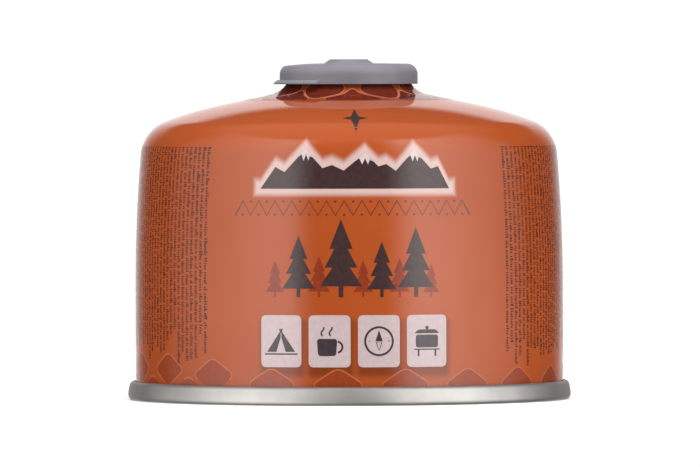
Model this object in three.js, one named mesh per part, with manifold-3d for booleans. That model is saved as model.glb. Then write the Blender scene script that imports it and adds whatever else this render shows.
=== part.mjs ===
// A screw-valve gas canister: a drawn steel can with a seamed bottom end, a crimped valve
// cup with its valve, and a push-on plastic cap. Millimetres, +Z up. The origin is the
// centre of the ring that the canister stands on, and the cap's pull tab is at the front left.
import * as THREE from 'three';
import { mergeVertices } from 'three/addons/utils/BufferGeometryUtils.js';
import Module from 'manifold-3d';

const wasm = await Module();
wasm.setup();

const { sin, cos, tan, asin, sqrt, PI } = Math;
const rad = THREE.MathUtils.degToRad;

// Clearance kept between pieces that touch on the real object
const seatGap = 0.3;

// Can: wall and shoulder, as a chain of tangent arcs from the neck down to the straight wall
const wallRadius = 53.1;
const canSheet = 0.6;
const mouthTop = 80.5; // highest point of the can's rolled mouth bead
const mouthRadius = 12.7; // the standard one-inch mouth
const beadRadius = 1.13;
const neckLean = 22.2; // degrees that the neck leans out where it leaves the bead
const neckFillet = 6.21;
const domeSlope = 11.65; // degrees from level, on the straight stretch of the dome
const crownRadius = 92.6;
const crownSlope = 20.93; // degrees from level, where the crown meets the tight shoulder
const shoulderRadius = 9.38;
const shoulderSlope = 85.11;
const sideRadius = 384; // the wall's slight barrel above its straight stretch

// Bottom end and the double seam that holds it
const seamHeight = 4.65;
const seamOverhang = 1.9; // how far the seam stands out of the wall
const seamShoulder = 1.2;
const seamBulge = 0.3; // how much the seam's face fills out below its shoulder
const seamFoot = 1.25;
const seamInnerFoot = 0.9;
const seamFloor = 1.9; // metal left under the can wall's edge
const endSheet = 0.6;
const recessDepth = 5.6; // height of the end panel's edge above the standing ring
const recessCorner = 1.0;
const panelRise = 3.4; // the end panel domes up by this much

// Valve cup, crimped over the mouth bead
const cupSheet = 0.55;
const cupSkirtGap = 0.4;
const cupGasket = 0.5; // thickness of the sealing ring under the curl
const gasketSpread = 38; // degrees that the ring reaches to each side of the bead's top
const crimpRadius = 0.9;
const crimpLean = 60; // degrees that the crimp turns under the bead
const wellStraight = 0.7;
const wellCorner = 1.2;
const threadDiameter = 11.11; // 7/16 inch, 28 threads to the inch
const bossWall = 0.9;
const bossRound = 0.8;
const bossPlate = 0.8;
const pinHole = 3.8; // diameter of the hole that the stove's pin enters
const bossFillet = 0.8;

// Valve inside the boss
const stemGasket = 1.5;
const plungerPin = 2.6; // diameters of the plunger's steps
const plungerStem = 2.4;
const plungerHead = 1.4; // heights of the plunger's steps
const plungerPinRise = 1.4;
const plungerStemDrop = 2.6;
const plungerTravel = 2.0;
const plungerGap = 0.35; // running clearance round the plunger's head
const housingWall = 0.9;
const housingFloor = 1.0;
const nozzleDiameter = 4.0;
const nozzleLength = 2.0;
const inletBore = 1.8;
const springWire = 0.5;
const springTurns = 4;
const springClear = 0.55; // between the plunger's stem and the coil

// Cap
const capWall = 0.94;
const capPlate = 0.95;
const capFootGap = 0.65; // between the cap's foot and the neck's flare
const capRound = 2.6; // outside, round the top
const capInnerRound = 1.65;
const capCrown = 0.12; // how much the top falls from the button to the rounded edge
const buttonTop = 9.5; // diameters of the cap's centre button
const buttonFoot = 11.9;
const buttonRise = 1.0;
const tabReach = 1.5; // how far the pull tab stands out of the cap's wall
const tabThickness = 1.05;
const tabChamfer = 0.7;
const tabChamferRun = 1.0;
const tabCentre = 193; // degrees from +X, anticlockwise from above
const tabSpread = 101;
const reliefStart = 6.2; // the thumb relief begins this far from the axis
const reliefSlope = 3.9; // degrees

// Facets round each piece
const canFacets = 48;
const cupFacets = 32;
const capFacets = 40;
const smallFacets = 20;

// Points on an arc of the section, in (radius, height), with both ends
function arc(centre, radius, fromDegrees, toDegrees, steps) {
  const points = [];
  for (let i = 0; i <= steps; i++) {
    const angle = rad(fromDegrees + ((toDegrees - fromDegrees) * i) / steps);
    points.push([centre[0] + radius * cos(angle), centre[1] + radius * sin(angle)]);
  }
  return points;
}

// Drops points that repeat the one before, which would leave faces with no area
function tidy(section) {
  return section.filter((p, i) => i === 0 || Math.hypot(p[0] - section[i - 1][0], p[1] - section[i - 1][1]) > 1e-6);
}

// Turns a section round +Z. It runs anticlockwise, with radius to the right and height up
function turn(section, facets) {
  const points = tidy(section).map(([r, z]) => new THREE.Vector2(r, z));
  return new THREE.LatheGeometry(points, facets).rotateX(PI / 2);
}

function solidOf(geometry) {
  const bare = geometry.clone();
  bare.deleteAttribute('normal');
  bare.deleteAttribute('uv');
  const merged = mergeVertices(bare, 1e-5);
  const index = merged.index ? merged.index.array : merged.toNonIndexed().index.array;
  const faces = [];
  for (let i = 0; i < index.length; i += 3) {
    const [a, b, c] = [index[i], index[i + 1], index[i + 2]];
    if (a !== b && b !== c && c !== a) faces.push(a, b, c);
  }
  return new wasm.Manifold(
    new wasm.Mesh({
      numProp: 3,
      vertProperties: Float32Array.from(merged.attributes.position.array),
      triVerts: Uint32Array.from(faces),
    }),
  );
}

function geometryOf(solid) {
  const mesh = solid.getMesh();
  const geometry = new THREE.BufferGeometry();
  geometry.setAttribute('position', new THREE.BufferAttribute(mesh.vertProperties, 3));
  geometry.setIndex(new THREE.BufferAttribute(mesh.triVerts, 1));
  geometry.computeVertexNormals();
  return geometry;
}

const canister = new THREE.Group();

function piece(name, geometry, colour, roughness, metalness) {
  const material = new THREE.MeshStandardMaterial({ color: colour, roughness, metalness });
  const mesh = new THREE.Mesh(geometry, material);
  mesh.name = name;
  canister.add(mesh);
}

// Places that several pieces share
const wallInside = wallRadius - canSheet;
const chuckOutside = wallInside - seatGap;
const chuckInside = chuckOutside - endSheet;
const recessCentre = [chuckInside - recessCorner, recessDepth - recessCorner];
const panelRadius = (recessCentre[0] ** 2 + panelRise ** 2) / (2 * panelRise);
const panelSweep = (asin(recessCentre[0] / panelRadius) * 180) / PI;

const bead = [mouthRadius + beadRadius, mouthTop - beadRadius];
const beadOutside = bead[0] + beadRadius;
const neck = [
  beadOutside + neckFillet * cos(rad(neckLean)),
  bead[1] + neckFillet * sin(rad(neckLean)),
];
// Height of the neck's flare where it has the given radius
const neckHeight = (radius) => neck[1] - sqrt(neckFillet ** 2 - (neck[0] - radius) ** 2);

const curlInside = mouthRadius - seatGap - cupSheet;
const skirtInside = beadOutside + cupSkirtGap;
const curlOutside = skirtInside + cupSheet;
const curlRadius = (curlOutside - curlInside) / 2;
const curlTop = mouthTop + seatGap + cupGasket + seatGap + cupSheet;
const curl = [curlInside + curlRadius, curlTop - curlRadius];

const crimpReach = beadRadius + seatGap + crimpRadius;
const crimp = [bead[0] - crimpReach * cos(rad(crimpLean)), bead[1] - crimpReach * sin(rad(crimpLean))];
const crimpLow = [bead[0], bead[1] - 2 * crimpReach * sin(rad(crimpLean))];
const wellUnder = crimpLow[1] - wellStraight - wellCorner;
const wellFloor = wellUnder + cupSheet;
const bossRadius = threadDiameter / 2;
const bossInside = bossRadius - bossWall;
const plateUnder = curlTop - bossPlate;

const valveRadius = bossInside - seatGap;
const gasketTop = plateUnder - seatGap;
const gasketUnder = gasketTop - stemGasket;
const plungerTop = gasketUnder - seatGap;
const headUnder = plungerTop - plungerHead;
const stemUnder = headUnder - plungerStemDrop;
const housingInside = valveRadius - housingWall;
const housingFloorTop = stemUnder - plungerTravel - seatGap;
const housingUnder = housingFloorTop - housingFloor;
const nozzleUnder = housingUnder - nozzleLength;

const capInside = curlOutside + seatGap;
const capOutside = capInside + capWall;
const capUnder = curlTop + seatGap;
const capTop = capUnder + capPlate;
const capFoot = neckHeight(capInside - capFootGap);

// The cup's wall below its curl, as seen from the can: under the bead, round the crimp and
// down. It stands off the can by the given distance, and runs from the bottom upwards
function crimpedWall(offset) {
  const hollow = beadRadius + offset;
  const swell = crimpRadius + seatGap - offset;
  return [
    ...arc(crimpLow, hollow, 180, 180 - crimpLean, 2),
    ...arc(crimp, swell, -crimpLean, crimpLean, 2),
    ...arc(bead, hollow, 180 + crimpLean, 180, 2),
  ];
}

// The dome and wall outside, from the straight wall up to the bead
function canOutside() {
  const slopes = [domeSlope, crownSlope, shoulderSlope, 90].map(rad);
  const radii = [crownRadius, shoulderRadius, sideRadius];
  const steps = [2, 6, 4];
  const start = neck[0] - neckFillet * sin(slopes[0]);
  const widths = radii.map((r, i) => r * (sin(slopes[i + 1]) - sin(slopes[i])));
  const straight = wallRadius - start - widths.reduce((sum, w) => sum + w, 0);
  const points = arc(neck, neckFillet, 180 + neckLean, 270 - domeSlope, 5);
  let at = [start + straight, neck[1] - neckFillet * cos(slopes[0]) - straight * tan(slopes[0])];
  radii.forEach((radius, i) => {
    const centre = [at[0] - radius * sin(slopes[i]), at[1] - radius * cos(slopes[i])];
    const ends = [90 - (slopes[i] * 180) / PI, 90 - (slopes[i + 1] * 180) / PI];
    points.push(...arc(centre, radius, ends[0], ends[1], steps[i]));
    at = points[points.length - 1];
  });
  return points.reverse();
}

// The can with its contents is one solid. Its pocket holds the cup and the valve
function canBody() {
  const under = arc(
    [0, recessDepth + endSheet + seatGap + panelRise - panelRadius],
    panelRadius,
    90,
    90 - panelSweep,
    4,
  );
  const pocketUnder = wellUnder - seatGap;
  const corner = wellCorner + seatGap;
  const pocket = [
    [0, nozzleUnder - seatGap],
    [nozzleDiameter / 2 + seatGap, nozzleUnder - seatGap],
    [nozzleDiameter / 2 + seatGap, housingUnder - seatGap],
    [bossInside, housingUnder - seatGap],
    [bossInside, pocketUnder],
    ...arc([mouthRadius - corner, pocketUnder + corner], corner, 270, 360, 2),
    ...crimpedWall(0),
  ];
  return turn(
    [
      ...under,
      ...arc(recessCentre, recessCorner + endSheet + seatGap, 90, 0, 2),
      [wallInside, seamFloor + seatGap],
      [wallRadius, seamFloor + seatGap],
      ...canOutside(),
      ...arc(bead, beadRadius, 0, 180, 4),
      ...pocket.reverse(),
    ],
    canFacets,
  );
}

function bottomEnd() {
  const face = wallRadius + seamOverhang;
  const hook = wallRadius + seatGap;
  const shoulderEdge = face - seamBulge;
  const panel = (lift) => arc([0, recessDepth + lift + panelRise - panelRadius], panelRadius, 90, 90 - panelSweep, 4);
  return turn(
    [
      ...panel(0),
      ...arc(recessCentre, recessCorner, 90, 0, 2),
      ...arc([chuckInside + seamInnerFoot, seamInnerFoot], seamInnerFoot, 180, 270, 2),
      ...arc([face - seamFoot, seamFoot], seamFoot, 270, 360, 3),
      [face, (seamHeight - seamShoulder + seamFoot) / 2],
      ...arc([shoulderEdge - seamShoulder, seamHeight - seamShoulder], seamShoulder, 0, 90, 3),
      [hook, seamHeight],
      [hook, seamFloor],
      [chuckOutside, seamFloor],
      ...arc(recessCentre, recessCorner + endSheet, 0, 90, 2),
      ...panel(endSheet).reverse(),
    ],
    canFacets,
  );
}

// Curl, crimped wall, floor and threaded boss, pressed from one sheet. The thread's crest
// is a plain cylinder here. The section closes on itself, round the hole for the pin
function valveCup() {
  const inner = wellCorner - cupSheet;
  const wallFoot = mouthRadius - seatGap - wellCorner;
  const skirtFoot = neckHeight(skirtInside - seatGap);
  const well = [
    [pinHole / 2, plateUnder],
    [bossInside, plateUnder],
    ...arc([bossInside + bossFillet, wellUnder + bossFillet], bossFillet, 180, 270, 2),
    ...arc([wallFoot, wellUnder + wellCorner], wellCorner, 270, 360, 2),
    ...crimpedWall(seatGap),
  ];
  const inside = [
    ...arc([bossRadius - bossRound, curlTop - bossRound], bossRound, 90, 0, 2),
    ...arc([bossRadius + bossFillet, wellFloor + bossFillet], bossFillet, 180, 270, 2),
    ...arc([wallFoot, wellUnder + wellCorner], inner, 270, 360, 2),
    ...crimpedWall(seatGap + cupSheet),
  ];
  return turn(
    [
      ...well,
      ...arc(curl, curlRadius - cupSheet, 180, 0, 4),
      [skirtInside, skirtFoot],
      [curlOutside, skirtFoot],
      ...arc(curl, curlRadius, 0, 180, 6),
      ...inside.reverse(),
      [pinHole / 2, curlTop],
      [pinHole / 2, plateUnder],
    ],
    cupFacets,
  );
}

function cupGasketRing() {
  const outer = curlRadius - cupSheet - seatGap;
  const from = 90 - gasketSpread;
  const to = 90 + gasketSpread;
  const back = arc(curl, outer - cupGasket, to, from, 2);
  const section = [...arc(curl, outer, from, to, 2), ...back];
  return turn([...section, section[0]], cupFacets);
}

function stemGasketRing() {
  const hole = plungerPin / 2 + seatGap;
  return turn(
    [
      [hole, gasketUnder],
      [valveRadius, gasketUnder],
      [valveRadius, gasketTop],
      [hole, gasketTop],
      [hole, gasketUnder],
    ],
    smallFacets,
  );
}

function plunger() {
  const head = housingInside - plungerGap;
  return turn(
    [
      [0, stemUnder],
      [plungerStem / 2, stemUnder],
      [plungerStem / 2, headUnder],
      [head, headUnder],
      [head, plungerTop],
      [plungerPin / 2, plungerTop],
      [plungerPin / 2, plungerTop + plungerPinRise],
      [0, plungerTop + plungerPinRise],
    ],
    smallFacets,
  );
}

function housing() {
  const bore = inletBore / 2;
  return turn(
    [
      [bore, nozzleUnder],
      [nozzleDiameter / 2, nozzleUnder],
      [nozzleDiameter / 2, housingUnder],
      [valveRadius, housingUnder],
      [valveRadius, plungerTop],
      [housingInside, plungerTop],
      [housingInside, housingFloorTop],
      [bore, housingFloorTop],
      [bore, nozzleUnder],
    ],
    smallFacets,
  );
}

// The coil stands between the housing's floor and the plunger's head
class Coil extends THREE.Curve {
  getPoint(t, target = new THREE.Vector3()) {
    const radius = plungerStem / 2 + springClear + springWire / 2;
    const low = housingFloorTop + seatGap + springWire / 2;
    const high = headUnder - seatGap - springWire / 2;
    const angle = 2 * PI * springTurns * t;
    return target.set(radius * cos(angle), radius * sin(angle), low + (high - low) * t);
  }
}

function spring() {
  const section = new THREE.Shape();
  const sides = 5;
  for (let i = 0; i < sides; i++) {
    const angle = (2 * PI * i) / sides;
    const corner = [(springWire / 2) * cos(angle), (springWire / 2) * sin(angle)];
    if (i === 0) section.moveTo(...corner);
    else section.lineTo(...corner);
  }
  return new THREE.ExtrudeGeometry(section, {
    steps: 10 * springTurns,
    extrudePath: new Coil(),
    bevelEnabled: false,
  });
}

// A flat wedge of the given angle, seen from above, that keeps a turned ring's sector
function sector(radius, centreDegrees, spreadDegrees, low, high) {
  const shape = new THREE.Shape();
  const from = rad(centreDegrees - spreadDegrees / 2);
  const to = rad(centreDegrees + spreadDegrees / 2);
  shape.moveTo(0, 0);
  shape.lineTo(radius * cos(from), radius * sin(from));
  shape.absarc(0, 0, radius, from, to, false);
  shape.closePath();
  const geometry = new THREE.ExtrudeGeometry(shape, { depth: high - low, bevelEnabled: false });
  return geometry.translate(0, 0, low);
}

function cap() {
  const shell = turn(
    [
      [0, capUnder],
      ...arc([capInside - capInnerRound, capUnder - capInnerRound], capInnerRound, 90, 0, 3),
      [capInside, capFoot],
      [capOutside, capFoot],
      ...arc([capOutside - capRound, capTop - capCrown - capRound], capRound, 0, 90, 5),
      [buttonFoot / 2, capTop],
      [buttonTop / 2, capTop + buttonRise],
      [0, capTop + buttonRise],
    ],
    capFacets,
  );
  const root = capInside + capWall / 2;
  const rim = capOutside + tabReach;
  const ring = turn(
    [
      [root, capFoot],
      [rim, capFoot],
      [rim, capFoot + tabThickness - tabChamfer],
      [rim - tabChamferRun, capFoot + tabThickness],
      [root, capFoot + tabThickness],
      [root, capFoot],
    ],
    capFacets,
  );
  const margin = 1; // the cutters reach past what they cut
  const wedge = sector(2 * rim, tabCentre, tabSpread, capFoot - margin, capFoot + tabThickness + margin);
  const tab = solidOf(ring).intersect(solidOf(wedge));
  const reach = capOutside;
  const relief = new THREE.BoxGeometry(reach, 2 * capOutside + margin, capRound)
    .translate(reach / 2, 0, capRound / 2)
    .rotateY(rad(reliefSlope))
    .translate(reliefStart, 0, capTop)
    .rotateZ(rad(tabCentre));
  return geometryOf(solidOf(shell).add(tab).subtract(solidOf(relief)));
}

piece('can_body', canBody(), 0xc2592a, 0.22, 0.35);
piece('bottom_end', bottomEnd(), 0xb9b6b4, 0.35, 1.0);
piece('valve_cup', valveCup(), 0xc4c2bd, 0.3, 1.0);
piece('cup_gasket', cupGasketRing(), 0x2b2b2b, 0.8, 0.0);
piece('stem_gasket', stemGasketRing(), 0x1f1f1f, 0.8, 0.0);
piece('valve_plunger', plunger(), 0xe8e6df, 0.5, 0.0);
piece('valve_spring', spring(), 0xb8b8b8, 0.35, 1.0);
piece('valve_housing', housing(), 0xddd9cf, 0.5, 0.0);
piece('cap', cap(), 0x8a8287, 0.55, 0.0);

export default canister;
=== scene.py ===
"""A screw-valve gas canister, standing on a pale studio floor.

The lacquered can, its seamed bottom end, the crimped valve cup with its thread, the valve
inside the boss and the push-on cap are built by classes whose fields are sizes in
millimetres. What is printed on the can is a set of thin films that lie on its surface.
"""

from __future__ import annotations

import logging
import math
import random
from dataclasses import dataclass, field
from enum import Enum
from typing import Callable, Iterable, Sequence

import bmesh
import bpy
from mathutils import Matrix, Vector

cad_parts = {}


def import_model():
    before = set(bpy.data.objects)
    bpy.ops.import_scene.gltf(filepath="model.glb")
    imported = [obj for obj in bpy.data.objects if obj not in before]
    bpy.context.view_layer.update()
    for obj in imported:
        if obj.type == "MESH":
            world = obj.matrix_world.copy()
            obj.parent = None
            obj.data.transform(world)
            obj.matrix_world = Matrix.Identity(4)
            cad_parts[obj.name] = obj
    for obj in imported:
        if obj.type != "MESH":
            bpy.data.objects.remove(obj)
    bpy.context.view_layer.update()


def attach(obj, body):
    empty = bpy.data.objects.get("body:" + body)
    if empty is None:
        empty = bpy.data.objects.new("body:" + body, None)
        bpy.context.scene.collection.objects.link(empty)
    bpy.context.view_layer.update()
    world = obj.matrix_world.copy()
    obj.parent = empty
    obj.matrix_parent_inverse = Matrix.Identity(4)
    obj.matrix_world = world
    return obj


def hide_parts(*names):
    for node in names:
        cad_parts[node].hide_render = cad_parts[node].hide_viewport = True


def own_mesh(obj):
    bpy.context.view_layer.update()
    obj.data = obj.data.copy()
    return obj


log = logging.getLogger("canister")

Point = tuple[float, float]
Outline = list[Point]
Warp = Callable[[float, float, float], Point]
Colour = tuple[float, float, float, float]

MM = 0.001
SMALL = 1e-6  # a length under this counts as none
SEAT_GAP = 0.3  # clearance between pieces that touch on the real object
WALL_RADIUS = 53.1
CAN_SHEET = 0.6
SEAM_HEIGHT = 4.65


class Slot(Enum):
    """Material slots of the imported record."""

    LACQUER = "orange_lacquer"
    STEEL = "bare_steel"
    PRESSED = "plated_steel"
    RUBBER = "black_rubber"
    WHITE = "white_plastic"
    GREY = "grey_plastic"


class Body(Enum):
    """Bodies that the pieces ride on."""

    CAN = "canister"
    CAP = "cap"
    PLUNGER = "plunger"


def linear(red: int, green: int, blue: int) -> Colour:
    """Turn a display colour into a linear one, by the sRGB curve.

    Args:
        red: Red from 0 to 255.
        green: Green from 0 to 255.
        blue: Blue from 0 to 255.

    Returns:
        The linear colour with full alpha.
    """
    parts = [c / 255 for c in (red, green, blue)]
    flat = [c / 12.92 if c < 0.04045 else ((c + 0.055) / 1.055) ** 2.4 for c in parts]
    return (*flat, 1.0)


def smooth(share: float) -> float:
    """Hold a share between 0 and 1, and ease it at both ends."""
    t = min(1.0, max(0.0, share))
    return t * t * (3 - 2 * t)


def arc(centre: Point, radius: float, start: float, stop: float, steps: int) -> Outline:
    """Give an arc's points with both ends, by angles in degrees, anticlockwise from the right."""
    turns = [math.radians(start + (stop - start) * i / steps) for i in range(steps + 1)]
    return [(centre[0] + radius * math.cos(t), centre[1] + radius * math.sin(t)) for t in turns]


def line(start: Point, stop: Point, steps: int) -> Outline:
    """Give evenly spaced points on a straight line, with both ends.

    Args:
        start: First point.
        stop: Last point.
        steps: Number of stretches.

    Returns:
        The points in order.
    """
    return [
        (start[0] + (stop[0] - start[0]) * i / steps, start[1] + (stop[1] - start[1]) * i / steps)
        for i in range(steps + 1)
    ]


def box(left: float, low: float, right: float, high: float) -> Outline:
    """Give a four-sided outline from its edges."""
    return [(left, low), (right, low), (right, high), (left, high)]


def disc(centre: Point, radius: float, steps: int = 24) -> Outline:
    """Give a round outline."""
    return arc(centre, radius, 0, 360, steps)[:-1]


def rounded(corners: Sequence[Point], radius: float, steps: int = 4) -> Outline:
    """Round a polygon's corners.

    Args:
        corners: The sharp corners in order.
        radius: How far each round begins from its corner.
        steps: Chords for each corner.

    Returns:
        The rounded outline.
    """
    points = []
    count = len(corners)
    for i, corner in enumerate(corners):
        before, after = Vector(corners[i - 1]), Vector(corners[(i + 1) % count])
        at = Vector(corner)
        back, on = (before - at).normalized() * radius, (after - at).normalized() * radius
        for k in range(steps + 1):
            t = k / steps
            curve = (at + back) * (1 - t) ** 2 + at * 2 * t * (1 - t) + (at + on) * t * t
            points.append((curve.x, curve.y))
    return points


def stroke(outline: Sequence[Point], width: float, closed: bool = True) -> list[Outline]:
    """Draw a line of even width along an outline, as one four-sided shape for each chord.

    Args:
        outline: Points of the line.
        width: Width of the line.
        closed: Whether the last point joins the first.

    Returns:
        The shapes.
    """
    count = len(outline)
    points = [Vector(p) for p in outline]
    sides = []
    for i in range(count):
        a = points[i - 1] if i or closed else points[i]
        b = points[(i + 1) % count] if i < count - 1 or closed else points[i]
        along = (b - a).normalized()
        across = Vector((-along.y, along.x)) * width / 2
        sides.append((points[i] + across, points[i] - across))
    ends = count if closed else count - 1
    shapes = []
    for i in range(ends):
        a, b = sides[i], sides[(i + 1) % count]
        shapes.append([tuple(a[0]), tuple(a[1]), tuple(b[1]), tuple(b[0])])
    return shapes


def distinct(points: Sequence[Point]) -> Outline:
    """Drop points that repeat the one before.

    Args:
        points: Points in order.

    Returns:
        The points that are left.
    """
    kept = [points[0]]
    kept += [b for a, b in zip(points, points[1:]) if math.dist(a, b) > SMALL]
    return kept


def into_object(name: str, mesh: bmesh.types.BMesh) -> bpy.types.Object:
    """Link a finished mesh into the scene.

    Args:
        name: Name of the new object.
        mesh: The mesh, which is freed.

    Returns:
        The object.
    """
    data = bpy.data.meshes.new(name)
    mesh.to_mesh(data)
    mesh.free()
    piece = bpy.data.objects.new(name, data)
    bpy.context.scene.collection.objects.link(piece)
    return piece


def turned(mesh: bmesh.types.BMesh, point: Point, facets: int,
           warp: Warp | None) -> list[bmesh.types.BMVert]:
    """Add one point of a section all round the axis.

    Args:
        mesh: Mesh that the vertices go into.
        point: The point, as radius and height in millimetres.
        facets: Facets round the axis.
        warp: Moves a point, given its radius, height and angle from +X.

    Returns:
        The ring of vertices, or a single one if the point lies on the axis.
    """
    r, z = point
    if r < SMALL:
        return [mesh.verts.new((0, 0, z * MM))]
    ring = []
    for k in range(facets):
        angle = 2 * math.pi * k / facets
        at, up = warp(r, z, angle) if warp else (r, z)
        ring.append(mesh.verts.new((at * math.cos(angle) * MM, at * math.sin(angle) * MM, up * MM)))
    return ring


def sharpen(mesh: bmesh.types.BMesh, points: Outline, rings: list[list[bmesh.types.BMVert]],
            closed: bool, crease: float) -> None:
    """Make the edges sharp where a turned section has a corner.

    Args:
        mesh: The turned mesh.
        points: The section's points.
        rings: The vertices of each point.
        closed: Whether the section closes on itself.
        crease: Turns sharper than this many degrees are corners.
    """
    count = len(points)
    for i, ring in enumerate(rings):
        before = points[i - 1] if i or closed else None
        after = points[(i + 1) % count] if i < count - 1 or closed else None
        if len(ring) == 1 or before is None or after is None:
            continue
        a = math.atan2(points[i][1] - before[1], points[i][0] - before[0])
        b = math.atan2(after[1] - points[i][1], after[0] - points[i][0])
        turn = abs((b - a + math.pi) % (2 * math.pi) - math.pi)
        if turn > math.radians(crease):
            for first, second in zip(ring, ring[1:] + ring[:1]):
                mesh.edges.get((first, second)).smooth = False


def revolve(name: str, section: Sequence[Point], facets: int, closed: bool = False,
            warp: Warp | None = None, crease: float = 32.0) -> bpy.types.Object:
    """Turn a section round +Z into a closed mesh.

    Args:
        name: Name of the new piece.
        section: Points as radius and height in millimetres, anticlockwise.
        facets: Facets round the axis.
        closed: Whether the section closes on itself, and not on the axis.
        warp: Moves a point, given its radius, height and angle from +X.
        crease: Turns of the section sharper than this many degrees stay sharp.

    Returns:
        The object, with its mesh in the part's frame.
    """
    points = distinct(section)
    if closed and math.dist(points[0], points[-1]) < SMALL:
        points.pop()
    mesh = bmesh.new()
    rings = [turned(mesh, point, facets, warp) for point in points]
    pairs = list(zip(rings, rings[1:]))
    if closed:
        pairs.append((rings[-1], rings[0]))
    for low, high in pairs:
        for k in range(facets):
            j = (k + 1) % facets
            corners = [low[k % len(low)], low[j % len(low)], high[j % len(high)], high[k % len(high)]]
            mesh.faces.new(list(dict.fromkeys(corners))).smooth = True
    sharpen(mesh, points, rings, closed, crease)
    return into_object(name, mesh)


def settle(piece: bpy.types.Object, body: Body, slot: Slot, material: bpy.types.Material,
           *nodes: str) -> bpy.types.Object:
    """Dress a piece, put it on its body and report it.

    Args:
        piece: The new piece.
        body: Body that it rides on.
        slot: Slot of the record that it belongs to; not used.
        material: Its finish.
        *nodes: CAD nodes that it replaces.

    Returns:
        The piece.
    """
    piece.data.materials.clear()
    piece.data.materials.append(material)
    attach(piece, body.value)
    if nodes:
        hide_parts(*nodes)
    log.info("%s: %d faces on %s", piece.name, len(piece.data.polygons), body.value)
    return piece


class Graph:
    """Writes the nodes of one material or world."""

    # The mix node has a set of sockets for each kind of value, and these are the colours'
    MIX_SHARE, MIX_FIRST, MIX_SECOND, MIX_RESULT = 0, 6, 7, 2

    def __init__(self, tree: bpy.types.NodeTree) -> None:
        """Keep the tree that the nodes go into."""
        self.tree = tree

    def node(self, kind: str, **settings: object) -> bpy.types.Node:
        """Add a node and set its options.

        Args:
            kind: Blender's name for the kind of node.
            **settings: Options by name.

        Returns:
            The node.
        """
        made = self.tree.nodes.new(kind)
        for key, value in settings.items():
            setattr(made, key, value)
        return made

    def feed(self, socket: bpy.types.NodeSocket, value: object) -> None:
        """Link a socket to another one, or set its value.

        Args:
            socket: The socket that is fed.
            value: A socket, or a number, colour or vector.
        """
        if isinstance(value, bpy.types.NodeSocket):
            self.tree.links.new(value, socket)
        else:
            socket.default_value = value

    def math(self, operation: str, *values: object) -> bpy.types.NodeSocket:
        """Add a math node.

        Args:
            operation: Blender's name for the operation.
            *values: Sockets or numbers, in the node's order.

        Returns:
            The result.
        """
        made = self.node("ShaderNodeMath", operation=operation)
        for socket, value in zip(made.inputs, values):
            self.feed(socket, value)
        return made.outputs[0]

    def fade(self, value: object, start: float, stop: float) -> bpy.types.NodeSocket:
        """Give 0 at the start and 1 at the stop, with a smooth step between.

        Args:
            value: The value that rises.
            start: Where the step begins.
            stop: Where the step ends.

        Returns:
            The step.
        """
        made = self.node("ShaderNodeMapRange", interpolation_type="SMOOTHSTEP")
        for key, item in {"Value": value, "From Min": start, "From Max": stop}.items():
            self.feed(made.inputs[key], item)
        return made.outputs[0]

    def inverse(self, value: object) -> bpy.types.NodeSocket:
        """Give 1 less a value."""
        return self.math("SUBTRACT", 1.0, value)

    def mix(self, share: object, first: object, second: object) -> bpy.types.NodeSocket:
        """Mix two colours.

        Args:
            share: How much of the second colour there is, from 0 to 1.
            first: First colour.
            second: Second colour.

        Returns:
            The mixed colour.
        """
        made = self.node("ShaderNodeMix", data_type="RGBA")
        self.feed(made.inputs[self.MIX_SHARE], share)
        self.feed(made.inputs[self.MIX_FIRST], first)
        self.feed(made.inputs[self.MIX_SECOND], second)
        return made.outputs[self.MIX_RESULT]

    def axes(self, kind: str) -> list[bpy.types.NodeSocket]:
        """Give the three parts of a texture coordinate.

        Args:
            kind: Which coordinate.

        Returns:
            Its x, y and z.
        """
        coordinate = self.node("ShaderNodeTexCoord").outputs[kind]
        parts = self.node("ShaderNodeSeparateXYZ")
        self.feed(parts.inputs[0], coordinate)
        return list(parts.outputs)

    def noise(self, scale: float, detail: float = 2.0,
              stretch: tuple[float, float, float] = (1, 1, 1)) -> bpy.types.NodeSocket:
        """Give noise in object space.

        Args:
            scale: Features for each metre.
            detail: Octaves of finer noise.
            stretch: How much denser the noise is along each axis.

        Returns:
            The noise, from 0 to 1.
        """
        place = self.node("ShaderNodeMapping")
        self.feed(place.inputs["Vector"], self.node("ShaderNodeTexCoord").outputs["Object"])
        place.inputs["Scale"].default_value = stretch
        made = self.node("ShaderNodeTexNoise")
        self.feed(made.inputs["Vector"], place.outputs[0])
        made.inputs["Scale"].default_value = scale
        made.inputs["Detail"].default_value = detail
        return made.outputs["Fac"]

    def bump(self, height: object, distance: float) -> bpy.types.NodeSocket:
        """Turn a height into a normal.

        Args:
            height: The height, from 0 to 1.
            distance: What a height of 1 is in metres.

        Returns:
            The normal.
        """
        made = self.node("ShaderNodeBump")
        self.feed(made.inputs["Height"], height)
        made.inputs["Distance"].default_value = distance
        made.inputs["Strength"].default_value = 1.0
        return made.outputs[0]


def shader(name: str) -> tuple[bpy.types.Material, Graph, bpy.types.NodeInputs]:
    """Make a material.

    Args:
        name: Name of the material.

    Returns:
        The material, its graph and its shader's sockets.
    """
    material = bpy.data.materials.new(name)
    material.use_nodes = True
    graph = Graph(material.node_tree)
    return material, graph, material.node_tree.nodes["Principled BSDF"].inputs


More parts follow.
